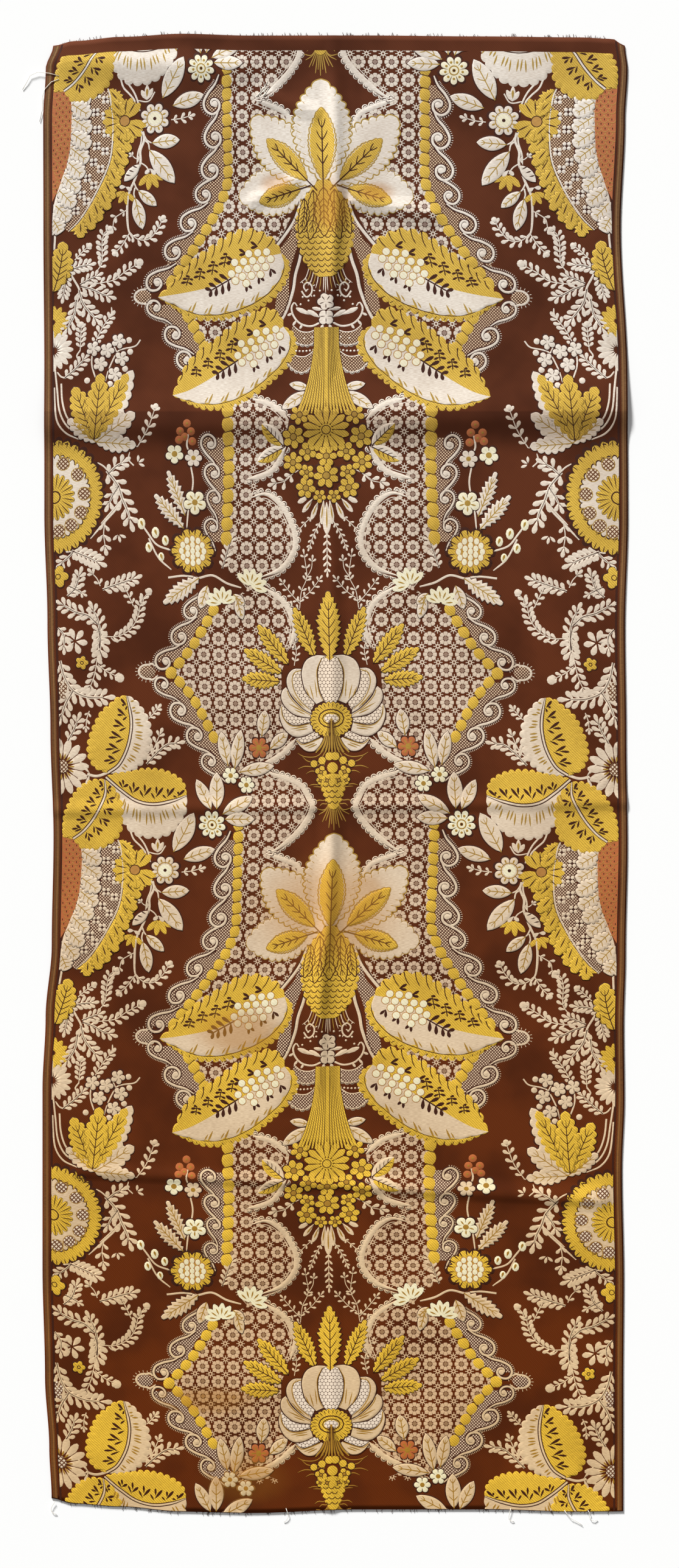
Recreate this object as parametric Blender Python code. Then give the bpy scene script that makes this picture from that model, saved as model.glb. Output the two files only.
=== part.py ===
"""A loom-width length of patterned silk, lying face up on a flat surface.

Metres, +Z up. The origin is on the surface under the middle of the cloth's bounding box.
+Y runs along the warp to the unpatterned heading, and the face of the cloth looks up.
"""

import bmesh
import bpy
import numpy as np

MM = 0.001

# The cloth as a flat rectangle, before its edges wander.
HALF_WIDTH = 270 * MM
HALF_LENGTH = 690 * MM
THICKNESS = 1.0 * MM

# The grid that the sheet is made of: its widest steps, and the finer ones beside a crease.
WIDE_STEP = 34 * MM
CREASE_STEPS = (-16 * MM, -8 * MM, 0.0, 8 * MM, 16 * MM)
CLOSEST_LINES = 5 * MM

# What lies less than this above the surface is pressed flat on it.
PRESSED_FLAT = 0.5 * MM

SILK_COLOUR = (0.085, 0.022, 0.010, 1.0)
SILK_ROUGHNESS = 0.55

# How far each side edge stands outside the rectangle, at distances along the cloth from its middle.
SIDE_EDGES = [
    {"along": 690 * MM, "left": -6.0 * MM, "right": 0.0 * MM},
    {"along": 668 * MM, "left": 1.0 * MM, "right": 2.5 * MM},
    {"along": 620 * MM, "left": 3.4 * MM, "right": 0.0 * MM},
    {"along": 518 * MM, "left": 3.2 * MM, "right": -4.0 * MM},
    {"along": 380 * MM, "left": 2.3 * MM, "right": 2.3 * MM},
    {"along": 245 * MM, "left": 2.3 * MM, "right": 2.8 * MM},
    {"along": 142 * MM, "left": -0.6 * MM, "right": 0.0 * MM},
    {"along": 40 * MM, "left": -3.4 * MM, "right": 1.1 * MM},
    {"along": -62 * MM, "left": -6.3 * MM, "right": 2.3 * MM},
    {"along": -165 * MM, "left": -4.6 * MM, "right": 0.5 * MM},
    {"along": -233 * MM, "left": 1.1 * MM, "right": -1.1 * MM},
    {"along": -301 * MM, "left": 4.0 * MM, "right": -0.5 * MM},
    {"along": -369 * MM, "left": 4.0 * MM, "right": -2.8 * MM},
    {"along": -471 * MM, "left": 4.0 * MM, "right": -1.1 * MM},
    {"along": -574 * MM, "left": 1.7 * MM, "right": -1.7 * MM},
    {"along": -642 * MM, "left": -2.3 * MM, "right": -1.7 * MM},
    {"along": -690 * MM, "left": -4.5 * MM, "right": -1.7 * MM},
]

# How far the cut ends stand outside the rectangle, at distances across the cloth from its middle.
CUT_ENDS = [
    {"across": -270 * MM, "top": -11.0 * MM, "bottom": -13.0 * MM},
    {"across": -250 * MM, "top": -6.5 * MM, "bottom": -8.0 * MM},
    {"across": -205 * MM, "top": -2.6 * MM, "bottom": -5.0 * MM},
    {"across": -148 * MM, "top": 0.3 * MM, "bottom": -0.5 * MM},
    {"across": -85 * MM, "top": -1.4 * MM, "bottom": 0.9 * MM},
    {"across": 22 * MM, "top": -1.3 * MM, "bottom": -2.5 * MM},
    {"across": 136 * MM, "top": -2.2 * MM, "bottom": -2.5 * MM},
    {"across": 227 * MM, "top": -3.1 * MM, "bottom": -0.3 * MM},
    {"across": 258 * MM, "top": -4.5 * MM, "bottom": -0.6 * MM},
    {"across": 270 * MM, "top": -11.0 * MM, "bottom": -0.8 * MM},
]

# The ridge down the middle, where the silk was folded lengthwise and puckers over the motifs.
CENTRE_RIDGE = [
    {"along": 690 * MM, "across": -2 * MM, "height": 1.0 * MM},
    {"along": 600 * MM, "across": 0 * MM, "height": 4.5 * MM},
    {"along": 530 * MM, "across": 1 * MM, "height": 6.5 * MM},
    {"along": 480 * MM, "across": -2 * MM, "height": 6.0 * MM},
    {"along": 405 * MM, "across": -6 * MM, "height": 2.0 * MM},
    {"along": 330 * MM, "across": -8 * MM, "height": 2.0 * MM},
    {"along": 250 * MM, "across": -5 * MM, "height": 1.2 * MM},
    {"along": 185 * MM, "across": -2 * MM, "height": 3.0 * MM},
    {"along": 95 * MM, "across": -2 * MM, "height": 3.0 * MM},
    {"along": 10 * MM, "across": -4 * MM, "height": 1.8 * MM},
    {"along": -60 * MM, "across": -3 * MM, "height": 4.0 * MM},
    {"along": -120 * MM, "across": -6 * MM, "height": 5.0 * MM},
    {"along": -190 * MM, "across": -13 * MM, "height": 6.5 * MM},
    {"along": -235 * MM, "across": -15 * MM, "height": 4.0 * MM},
    {"along": -300 * MM, "across": -11 * MM, "height": 1.2 * MM},
    {"along": -470 * MM, "across": 0 * MM, "height": 1.2 * MM},
    {"along": -590 * MM, "across": -2 * MM, "height": 1.4 * MM},
    {"along": -690 * MM, "across": -4 * MM, "height": 1.2 * MM},
]
CENTRE_HALF_WIDTH = 11 * MM

# Creases across the cloth and puckers beside the motifs, each a straight soft ridge between two points.
# Its slope towards the heading and its slope away from it have their own widths.
CREASES = [
    {"name": "deep cross fold", "from": (-272 * MM, 325 * MM), "to": (-20 * MM, 328 * MM),
     "height": 4.5 * MM, "upper": 42 * MM, "lower": 24 * MM},
    {"name": "deep cross fold, right", "from": (-20 * MM, 328 * MM), "to": (272 * MM, 339 * MM),
     "height": 4.5 * MM, "upper": 42 * MM, "lower": 24 * MM},
    {"name": "middle cross fold", "from": (-266 * MM, -35 * MM), "to": (272 * MM, -27 * MM),
     "height": 1.8 * MM, "upper": 12 * MM, "lower": 9 * MM},
    {"name": "low cross fold", "from": (-240 * MM, -372 * MM), "to": (20 * MM, -385 * MM),
     "height": 2.0 * MM, "upper": 11 * MM, "lower": 8 * MM},
    {"name": "low cross fold, right", "from": (20 * MM, -385 * MM), "to": (250 * MM, -399 * MM),
     "height": 2.6 * MM, "upper": 14 * MM, "lower": 9 * MM},
    {"name": "wave below the heading", "from": (-250 * MM, 665 * MM), "to": (-90 * MM, 660 * MM),
     "height": 3.0 * MM, "upper": 16 * MM, "lower": 22 * MM},
    {"name": "pucker at the worn hole", "from": (-66 * MM, 632 * MM), "to": (-18 * MM, 618 * MM),
     "height": 2.2 * MM, "upper": 10 * MM, "lower": 12 * MM},
    {"name": "pucker left of the upper fan", "from": (-75 * MM, 535 * MM), "to": (-40 * MM, 552 * MM),
     "height": 2.4 * MM, "upper": 9 * MM, "lower": 12 * MM},
    {"name": "pucker right of the upper fan", "from": (18 * MM, 535 * MM), "to": (88 * MM, 522 * MM),
     "height": 3.0 * MM, "upper": 12 * MM, "lower": 14 * MM},
]


def column(table, name):
    """One named column of a table, as an array."""
    return np.array([row[name] for row in table])


def smooth_between(places, values, at):
    """Values between a table's rows, level at each row and eased between them. Places may rise or fall."""
    order = np.argsort(places)
    places, values = places[order], values[order]
    at = np.clip(at, places[0], places[-1])
    upper = np.clip(np.searchsorted(places, at), 1, len(places) - 1)
    share = (at - places[upper - 1]) / (places[upper] - places[upper - 1])
    eased = share * share * (3 - 2 * share)
    return values[upper - 1] + (values[upper] - values[upper - 1]) * eased


def ridge(distance, half_width):
    """The height of a soft ridge of height 1 at a distance from its crest: a crest that eases into flat cloth."""
    return 1 / (1 + (distance / half_width) ** 2) ** 2


def centre_ridge_height(across, along):
    crest = smooth_between(column(CENTRE_RIDGE, "along"), column(CENTRE_RIDGE, "across"), along)
    height = smooth_between(column(CENTRE_RIDGE, "along"), column(CENTRE_RIDGE, "height"), along)
    return height * ridge(across - crest, CENTRE_HALF_WIDTH)


def crease_height(crease, across, along):
    """A straight ridge between two points that fades out past its ends, with unlike slopes above and below it."""
    start, end = np.array(crease["from"]), np.array(crease["to"])
    length = np.hypot(*(end - start))
    way = (end - start) / length
    run = (across - start[0]) * way[0] + (along - start[1]) * way[1]
    side = (along - start[1]) * way[0] - (across - start[0]) * way[1]
    half_width = np.where(side > 0, crease["upper"], crease["lower"])
    past_end = np.maximum(np.maximum(-run, run - length), 0)
    return crease["height"] * ridge(side, half_width) * ridge(past_end, crease["lower"])


def cloth_height(across, along):
    """How far the underside lies above the surface: the highest ridge there, with low cloth pressed flat."""
    heights = [centre_ridge_height(across, along)]
    heights += [crease_height(crease, across, along) for crease in CREASES]
    return np.maximum(np.max(heights, axis=0) - PRESSED_FLAT, 0)


def grid_lines(half_extent, crests):
    """Places of the grid's lines: even wide steps, with finer ones beside each crest and none too close."""
    count = int(np.ceil(2 * half_extent / WIDE_STEP))
    lines = [step + crest for crest in crests for step in CREASE_STEPS]
    lines = [line for line in lines if abs(line) < half_extent - CLOSEST_LINES]
    for line in np.linspace(-half_extent, half_extent, count + 1):
        at_end = abs(abs(line) - half_extent) < CLOSEST_LINES
        if at_end or min(abs(line - other) for other in lines) > 2 * CLOSEST_LINES:
            lines.append(line)
    kept = []
    for line in sorted(lines):
        if not kept or line - kept[-1] > CLOSEST_LINES:
            kept.append(line)
    return np.array(kept)


def outline_shift(across, along):
    """How far a point of the flat rectangle moves so that the rim takes the wandering outline."""
    left = smooth_between(column(SIDE_EDGES, "along"), column(SIDE_EDGES, "left"), along)
    right = smooth_between(column(SIDE_EDGES, "along"), column(SIDE_EDGES, "right"), along)
    top = smooth_between(column(CUT_ENDS, "across"), column(CUT_ENDS, "top"), across)
    bottom = smooth_between(column(CUT_ENDS, "across"), column(CUT_ENDS, "bottom"), across)
    from_left = (across + HALF_WIDTH) / (2 * HALF_WIDTH)
    from_bottom = (along + HALF_LENGTH) / (2 * HALF_LENGTH)
    return from_left * right - (1 - from_left) * left, from_bottom * top - (1 - from_bottom) * bottom


def cloth_grid():
    """The underside of the cloth as an array of points, rows along the cloth and columns across it."""
    columns = grid_lines(HALF_WIDTH, [-2 * MM, -14 * MM])
    cross_folds = [0.5 * (c["from"][1] + c["to"][1]) for c in CREASES]
    rows = grid_lines(HALF_LENGTH, cross_folds)
    across, along = np.meshgrid(columns, rows)
    shift_x, shift_y = outline_shift(across, along)
    x, y = across + shift_x, along + shift_y
    x -= 0.5 * (x.min() + x.max())
    y -= 0.5 * (y.min() + y.max())
    return np.stack([x, y, cloth_height(x, y)], axis=-1)


def sheet_mesh(name, points):
    """A mesh of four-sided faces through a grid of points, its faces looking up."""
    rows, columns = points.shape[:2]
    index = np.arange(rows * columns).reshape(rows, columns)
    corners = [index[:-1, :-1], index[:-1, 1:], index[1:, 1:], index[1:, :-1]]
    faces = np.stack([corner.ravel() for corner in corners], axis=1)
    mesh = bpy.data.meshes.new(name)
    mesh.from_pydata(points.reshape(-1, 3).tolist(), [], faces.tolist())
    return mesh


def silk_material():
    material = bpy.data.materials.new("brown_silk")
    material.use_nodes = True
    shader = material.node_tree.nodes["Principled BSDF"]
    shader.inputs["Base Color"].default_value = SILK_COLOUR
    shader.inputs["Roughness"].default_value = SILK_ROUGHNESS
    shader.inputs["Metallic"].default_value = 0.0
    return material


def silk_panel():
    """The one woven length, thickened upwards from its underside, so that what lies flat touches the surface."""
    mesh = sheet_mesh("silk_panel", cloth_grid())
    working = bmesh.new()
    working.from_mesh(mesh)
    bmesh.ops.triangulate(working, faces=working.faces)
    working.to_mesh(mesh)
    working.free()
    mesh.materials.append(silk_material())
    panel = bpy.data.objects.new("silk_panel", mesh)
    bpy.context.scene.collection.objects.link(panel)
    thicken = panel.modifiers.new("thickness", "SOLIDIFY")
    thicken.thickness = THICKNESS
    thicken.offset = 1.0
    return panel


def main():
    for old in list(bpy.data.objects):
        bpy.data.objects.remove(old)
    silk_panel()


main()
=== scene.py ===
"""The look of a loom-width length of figured silk that lies face up: ground, figures and loose ends.

The figures are drawn on a weaver's draft of small squares, u across from the centre line and v down from the
top of the repeat. Each shape is a grid of points (u, v, lift), worked out with numpy. The draft is mirrored
about the centre line, repeated along the warp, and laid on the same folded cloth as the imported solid.
"""

import bpy
import numpy as np
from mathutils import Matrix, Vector


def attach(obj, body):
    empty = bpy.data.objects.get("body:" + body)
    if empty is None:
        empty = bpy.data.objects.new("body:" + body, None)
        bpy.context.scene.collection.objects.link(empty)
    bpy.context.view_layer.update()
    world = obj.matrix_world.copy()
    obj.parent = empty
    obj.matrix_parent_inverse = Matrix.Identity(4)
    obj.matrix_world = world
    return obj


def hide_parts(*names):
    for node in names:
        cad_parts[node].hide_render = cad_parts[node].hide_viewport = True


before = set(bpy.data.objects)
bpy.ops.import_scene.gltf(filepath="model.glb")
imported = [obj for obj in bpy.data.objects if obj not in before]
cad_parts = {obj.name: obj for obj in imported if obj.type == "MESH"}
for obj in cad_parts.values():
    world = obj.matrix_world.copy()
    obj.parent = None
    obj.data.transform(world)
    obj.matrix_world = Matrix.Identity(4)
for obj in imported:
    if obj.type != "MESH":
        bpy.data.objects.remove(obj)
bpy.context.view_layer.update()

MM = 0.001

# The cloth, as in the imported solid: a flat rectangle whose edges wander, with folds pressed into it.
HALF_WIDTH = 270 * MM
HALF_LENGTH = 690 * MM
SHEET_THICKNESS = 0.9 * MM
PRESSED_FLAT = 0.5 * MM

# How far each side edge stands outside the rectangle, along the cloth: (along, left, right) in mm.
SIDE_EDGES = np.array([
    (690, -6.0, 0.0), (668, 1.0, 2.5), (620, 3.4, 0.0), (518, 3.2, -4.0), (380, 2.3, 2.3), (245, 2.3, 2.8),
    (142, -0.6, 0.0), (40, -3.4, 1.1), (-62, -6.3, 2.3), (-165, -4.6, 0.5), (-233, 1.1, -1.1),
    (-301, 4.0, -0.5), (-369, 4.0, -2.8), (-471, 4.0, -1.1), (-574, 1.7, -1.7), (-642, -2.3, -1.7),
    (-690, -4.5, -1.7),
]) * MM

# How far the cut ends stand outside the rectangle, across the cloth: (across, top, bottom) in mm.
CUT_ENDS = np.array([
    (-270, -11.0, -13.0), (-250, -6.5, -8.0), (-205, -2.6, -5.0), (-148, 0.3, -0.5), (-85, -1.4, 0.9),
    (22, -1.3, -2.5), (136, -2.2, -2.5), (227, -3.1, -0.3), (258, -4.5, -0.6), (270, -11.0, -0.8),
]) * MM

# The ridge down the middle: (along, across, height) in mm.
CENTRE_RIDGE = np.array([
    (690, -2, 1.0), (600, 0, 4.5), (530, 1, 6.5), (480, -2, 6.0), (405, -6, 2.0), (330, -8, 2.0),
                         (250, -5, 1.2),
    (185, -2, 3.0), (95, -2, 3.0), (10, -4, 1.8), (-60, -3, 4.0), (-120, -6, 5.0), (-190, -13, 6.5),
    (-235, -15, 4.0), (-300, -11, 1.2), (-470, 0, 1.2), (-590, -2, 1.4), (-690, -4, 1.2),
]) * MM
CENTRE_HALF_WIDTH = 11 * MM

# Creases across the cloth: start, end, height, and the widths of the slopes above and below, in mm.
CREASES = np.array([
    (-272, 325, -20, 328, 4.5, 42, 24),
    (-20, 328, 272, 339, 4.5, 42, 24),
    (-266, -35, 272, -27, 1.8, 12, 9),
    (-240, -372, 20, -385, 2.0, 11, 8),
    (20, -385, 250, -399, 2.6, 14, 9),
    (-250, 665, -90, 660, 3.0, 16, 22),
    (-66, 632, -18, 618, 2.2, 10, 12),
    (-75, 535, -40, 552, 2.4, 9, 12),
    (18, 535, 88, 522, 3.0, 12, 14),
]) * MM

# The grid of the ground cloth: wide steps, and fine ones by the centre ridge and the cross folds.
WIDE_STEP = 5.0 * MM
RIDGE_LINES = np.arange(-30, 23, 1.6) * MM
FOLD_ROWS = np.concatenate([np.arange(c - 12, c + 12, 2.4) for c in (327, -31, -378, -392)]) * MM

# The draft: squares from centre line to selvage, squares in a repeat, and the strip without figures.
HALF_DRAFT = 475.0
REPEAT = 1242.0
FIELD_HALF = 261.7 * MM

# Where rows of the draft lie along the cloth. The second repeat was beaten closer: (v, along in mm).
WARP_ROWS = np.array([
    (-44, 676), (0, 651.1), (1242, -54.9), (1411, -143.0), (1656, -275.7), (1827, -368.0), (2051, -478.9),
    (2300, -610.7), (2447, -689.4),
])
# Where the centre line runs: (along, across) in mm.
CENTRE_LINE = np.array([
    (-690, -2.3), (-611, -4.3), (-479, -6.3), (-368, -8.5), (-231, -7.4), (-143, -5.1), (-55, -1.7),
    (50, -4.3), (191, -8.0), (319, -9.1), (432, -9.1), (555, -11.9), (651, -14.2), (690, -15.0),
])

# How far each layer of figures stands above the ground cloth, in mm.
NET_LIFT, ROSETTE_LIFT, BAND_LIFT, SCROLL_LIFT = 0.09, 0.15, 0.22, 0.28
BODY_LIFT, VEIN_LIFT, BEAD_LIFT = 0.36, 0.58, 0.75
EDGE_LIFT = -0.03
HIGH_LIFT = 0.5
# Threads at this height or more lie on other figures, and their rims are this much lower than their crests.
ON_FIGURES, THREAD_DEPTH = 0.41, 0.09
# Figures of one finish that overlap lie up to this much higher or lower than each other, in mm.
STAGGER = 0.03

# A shape that crosses the centre ridge is split until no step of its grid is wider than this, in squares.
RIDGE_REACH = 38
RIDGE_STEP = 2.8
# Cloth raised less than this counts as flat.
LEVEL_WITHIN = 0.02 * MM


# The folded cloth


def smooth_between(places, values, at):
    """Values between the rows of a table, level at each row and eased between them."""
    order = np.argsort(places)
    places, values = places[order], values[order]
    at = np.clip(at, places[0], places[-1])
    upper = np.clip(np.searchsorted(places, at), 1, len(places) - 1)
    share = (at - places[upper - 1]) / (places[upper] - places[upper - 1])
    eased = share * share * (3 - 2 * share)
    return values[upper - 1] + (values[upper] - values[upper - 1]) * eased


def ridge(distance, half_width):
    """The height of a soft ridge of height 1: one over the square of one plus the squared distance."""
    return 1 / (1 + (distance / half_width) ** 2) ** 2


def crease_height(crease, across, along):
    """A straight ridge from a start to an end that fades past them, with unlike slopes above and below."""
    start, end, height, upper, lower = crease[0:2], crease[2:4], crease[4], crease[5], crease[6]
    length = np.hypot(*(end - start))
    way = (end - start) / length
    run = (across - start[0]) * way[0] + (along - start[1]) * way[1]
    side = (along - start[1]) * way[0] - (across - start[0]) * way[1]
    past_end = np.maximum(np.maximum(-run, run - length), 0)
    return height * ridge(side, np.where(side > 0, upper, lower)) * ridge(past_end, lower)


def cloth_height(across, along):
    """How far the underside lies above the surface: the highest ridge there, with low cloth pressed flat."""
    crest = smooth_between(CENTRE_RIDGE[:, 0], CENTRE_RIDGE[:, 1], along)
    height = smooth_between(CENTRE_RIDGE[:, 0], CENTRE_RIDGE[:, 2], along)
    heights = [height * ridge(across - crest, CENTRE_HALF_WIDTH)]
    heights += [crease_height(crease, across, along) for crease in CREASES]
    return np.maximum(np.max(heights, axis=0) - PRESSED_FLAT, 0)


def wandered(across, along):
    """The flat rectangle's points moved so that its rim takes the cloth's outline, centred on its box."""
    left = smooth_between(SIDE_EDGES[:, 0], SIDE_EDGES[:, 1], along)
    right = smooth_between(SIDE_EDGES[:, 0], SIDE_EDGES[:, 2], along)
    top = smooth_between(CUT_ENDS[:, 0], CUT_ENDS[:, 1], across)
    bottom = smooth_between(CUT_ENDS[:, 0], CUT_ENDS[:, 2], across)
    from_left = (across + HALF_WIDTH) / (2 * HALF_WIDTH)
    from_bottom = (along + HALF_LENGTH) / (2 * HALF_LENGTH)
    x = across + from_left * right - (1 - from_left) * left
    y = along + from_bottom * top - (1 - from_bottom) * bottom
    middle_x = 0.5 * (SIDE_EDGES[:, 2].max() - SIDE_EDGES[:, 1].max())
    middle_y = 0.5 * (CUT_ENDS[:, 1].max() - CUT_ENDS[:, 2].max())
    return x - middle_x, y - middle_y


def grid_lines(half_extent, fine_lines):
    """Even wide steps, with the fine lines in place of those that lie among them."""
    wide = np.linspace(-half_extent, half_extent, int(np.ceil(2 * half_extent / WIDE_STEP)) + 1)
    near = np.abs(wide[:, None] - fine_lines[None, :]).min(axis=1) < 2 * MM
    near[[0, -1]] = False
    return np.sort(np.concatenate([wide[~near], fine_lines]))


COLUMNS = grid_lines(HALF_WIDTH, RIDGE_LINES)
ROWS = grid_lines(HALF_LENGTH, FOLD_ROWS)
GRID_X, GRID_Y = wandered(*np.meshgrid(COLUMNS, ROWS))
GRID_HEIGHT = cloth_height(GRID_X, GRID_Y)


def height_on_grid(across, along):
    """The height of the ground cloth's mesh at points of the flat rectangle, by linear shares of its cell."""
    column = np.clip(np.searchsorted(COLUMNS, across) - 1, 0, len(COLUMNS) - 2)
    row = np.clip(np.searchsorted(ROWS, along) - 1, 0, len(ROWS) - 2)
    s = np.clip((across - COLUMNS[column]) / (COLUMNS[column + 1] - COLUMNS[column]), 0, 1)
    t = np.clip((along - ROWS[row]) / (ROWS[row + 1] - ROWS[row]), 0, 1)
    low = GRID_HEIGHT[row, column] * (1 - s) + GRID_HEIGHT[row, column + 1] * s
    high = GRID_HEIGHT[row + 1, column] * (1 - s) + GRID_HEIGHT[row + 1, column + 1] * s
    return low * (1 - t) + high * t


def on_rectangle(across, along, lift):
    """Points of the flat rectangle laid on the cloth's upper face and lifted. The higher lifts are halved."""
    x, y = wandered(across, along)
    lift = np.where(lift > NET_LIFT, NET_LIFT + 0.5 * (lift - NET_LIFT), lift)
    z = height_on_grid(across, along) + SHEET_THICKNESS + lift * MM
    return np.stack([x, y, z], axis=-1)


def on_cloth(points, side, repeat):
    """Draft points (u, v, lift) laid on the cloth, for one side of the centre line and one repeat."""
    u, v, lift = points[:, 0], points[:, 1], points[:, 2]
    along = np.interp(v + REPEAT * repeat, WARP_ROWS[:, 0], WARP_ROWS[:, 1]) * MM
    left = smooth_between(SIDE_EDGES[:, 0], SIDE_EDGES[:, 1], along)
    right = smooth_between(SIDE_EDGES[:, 0], SIDE_EDGES[:, 2], along)
    centre = np.interp(along, CENTRE_LINE[:, 0] * MM, CENTRE_LINE[:, 1] * MM) - 0.5 * (right - left)
    share = np.clip(u / HALF_DRAFT, -1, 1)
    across = centre + side * share * (FIELD_HALF - side * centre)
    return on_rectangle(across, along, lift)


# Drawing on the draft

figures, edges = {}, {}
# The finishes that are used most. Each finish becomes a piece with its name.
MARKS, LACE, LEAF, FOLIAGE = "brown_marks", "cream_lace", "cream_leaf", "cream_foliage"
GOLD, BLOSSOMS, GOLD_THREAD, IVORY = "gold_figures", "gold_blossoms", "gold_lines", "ivory_figures"


def put(finish, grid, both=True):
    """Keeps a grid, or a stack of like grids, of points (u, v, lift). On the centre line both is False."""
    grid = np.array(grid, float)
    kept = figures.setdefault(finish, [])
    grid[..., 2] += np.where(grid[..., 2] > EDGE_LIFT, STAGGER * ((0.618 * len(kept)) % 1), 0)
    kept.append((grid.reshape((-1,) + grid.shape[-3:]), both))


def rim_lift(lift):
    """Where the rim of a thread lies: down on the ground cloth, or just on the figure that it crosses."""
    return EDGE_LIFT if lift < ON_FIGURES else lift - THREAD_DEPTH


def with_lift(points, lift):
    """Points (u, v) with a third column: their lift."""
    points = np.asarray(points, float)
    return np.concatenate([points, np.broadcast_to(lift, points.shape[:-1])[..., None]], axis=-1)


def smooth_path(points, steps=6):
    """A curve through the points: between two a cubic that leaves along the chord of its neighbours."""
    p = np.asarray(points, float)
    ends = np.vstack([2 * p[0] - p[1], p, 2 * p[-1] - p[-2]])
    a, b, c, d = (ends[k:len(ends) - 3 + k, None] for k in range(4))
    t = np.linspace(0, 1, steps, endpoint=False)[None, :, None]
    curve = b + 0.5 * t * (c - a + t * (2 * a - 5 * b + 4 * c - d + t * (3 * b - a - 3 * c + d)))
    return np.vstack([curve.reshape(-1, 2), p[-1]])


def even(path, count):
    """The path again as count points an equal distance apart, with its direction and the side to its left."""
    path = np.asarray(path, float)
    run = np.concatenate([[0], np.cumsum(np.hypot(*np.diff(path, axis=0).T))])
    at = np.linspace(0, run[-1], count)
    places = np.stack([np.interp(at, run, path[:, 0]), np.interp(at, run, path[:, 1])], axis=1)
    way = np.gradient(places, axis=0)
    way /= np.maximum(np.hypot(way[:, 0], way[:, 1]), 1e-9)[:, None]
    return places, way, np.stack([way[:, 1], -way[:, 0]], axis=1)


def path_length(path):
    """The length of a line through the points."""
    return np.hypot(*np.diff(np.asarray(path, float), axis=0).T).sum()


def circle(angle, wide=1.0, long=1.0):
    """Points (u, v) of an oval, at angles from the right."""
    return np.stack([np.cos(angle) * wide, np.sin(angle) * long], axis=-1)


def clock(angle, wide=1.0, long=1.0):
    """Points (u, v) of an oval, at angles from straight up."""
    return np.stack([np.sin(angle) * wide, -np.cos(angle) * long], axis=-1)


def ribbon(path, width, lift, start=1.0, end=1.0, step=3.0, flat=0.0):
    """A raised thread or band: half its width to each side of the path, down on the cloth at its rims.

    Its width is eased to start and end times itself over the first and last fifth. With flat over 0 that
    share of the width is level, and otherwise the section is a low roof.
    """
    count = max(3, int(np.ceil(path_length(path) / step)) + 1)
    places, _, side = even(path, count)
    half = 0.5 * width * np.interp(np.linspace(0, 1, count), [0, 0.2, 0.8, 1], [start, 1, 1, end])
    across = np.array([-1, -flat, flat, 1]) if flat else np.array([-1, 0, 1])
    heights = np.where(np.abs(across) == 1, rim_lift(lift), lift)
    points = places[:, None] + side[:, None] * (half[:, None] * across)[..., None]
    return with_lift(points, heights[None, :])


def rings(loop, spine, lift, shares):
    """Rings at shares of the way from a spine to an edge, level but for the last, down on the cloth."""
    shares = np.array(shares)[:, None, None]
    return with_lift(spine + (loop - spine) * shares, np.where(shares[:, :, 0] == 1, EDGE_LIFT, lift))


def filled(loop, spine, lift, inner=(0.0, 0.5), rim=0.9):
    """A raised shape round a spine inside it, level to the rim."""
    loop, spine = np.asarray(loop, float), np.broadcast_to(spine, np.shape(loop))
    loop, spine = (np.vstack([p, p[:1]]) for p in (loop, spine))
    return rings(loop, spine, lift, (*inner, rim, 1.0))


def halo(loop, spine, lift, both=True, rim=0.9):
    """The brown line round a figure: its shape, one square larger and a little lower."""
    away = loop - spine
    away = away / np.maximum(np.hypot(away[:, 0], away[:, 1]), 1.0)[:, None]
    put("brown_outlines", filled(loop + away, spine, lift - 0.05, inner=(0.75,), rim=rim), both)


def leaf_points(base, tip, half, bend, belly, full, share, side):
    """Points of a leaf: a parabola from base to tip standing out by bend, plus side times the half width.

    The half width is half times the power full of the sine of pi times the share to the power belly.
    """
    base, tip = np.asarray(base, float), np.asarray(tip, float)
    chord = tip - base
    length = np.hypot(*chord)
    sideways = np.array([chord[1], -chord[0]]) / length
    swell = half * np.sin(np.pi * np.clip(share, 0, 1) ** belly) ** full
    out = bend * 4 * share * (1 - share) + side * swell
    return base + chord * share[..., None] + sideways * out[..., None]


def leaf_outline(base, tip, half, bend=0, belly=1.0, full=0.75, lobes=0, depth=0, toothed=False):
    """The closed edge of a leaf, with scallops or teeth along its normals, and the midrib beside it."""
    count = max(10, lobes * (4 if toothed else 5))
    share = np.concatenate([np.linspace(0, 1, count, endpoint=False),
                            np.linspace(1, 0, count, endpoint=False)])
    side = np.repeat([1.0, -1.0], count)
    loop = leaf_points(base, tip, half, bend, belly, full, share, side)
    spine = leaf_points(base, tip, 0, bend, belly, full, np.clip(share, 0.04, 0.93), 0 * side)
    if lobes:
        along = (np.roll(loop, -1, axis=0) - np.roll(loop, 1, axis=0))
        along /= np.maximum(np.hypot(along[:, 0], along[:, 1]), 1e-9)[:, None]
        normal = np.stack([along[:, 1], -along[:, 0]], axis=1)
        outward = np.sign(((loop - spine) * normal).sum(axis=1, keepdims=True).sum()) or 1.0
        wave = (lobes * share) % 1 if toothed else np.abs(np.sin(np.pi * lobes * share)) ** 0.8
        depths = (depth * (wave - 0.35))[:, None]
        loop = loop + outward * normal * depths * np.sin(np.pi * share)[:, None] ** 0.3
    return loop, spine


def leaf(finish, base, tip, half, lift=BODY_LIFT, both=True, inner=(0.0, 0.5), **form):
    """One leaf, filled, with a brown line round it."""
    loop, spine = leaf_outline(base, tip, half, **form)
    if lift < HIGH_LIFT:
        halo(loop, spine, lift, both)
    put(finish, filled(loop, spine, lift, inner), both)


def half_leaf(finish, base, tip, half, which, lift=BODY_LIFT, both=True, **form):
    """The part of a leaf on one side of its midrib: which is 0 or 1."""
    loop, spine = leaf_outline(base, tip, half, **form)
    count = len(loop) // 2
    chosen = slice(0, count + 1) if which == 0 else slice(count, None)
    put(finish, rings(loop[chosen], spine[chosen], lift, (0, 0.5, 0.9, 1.0)), both)


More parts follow.
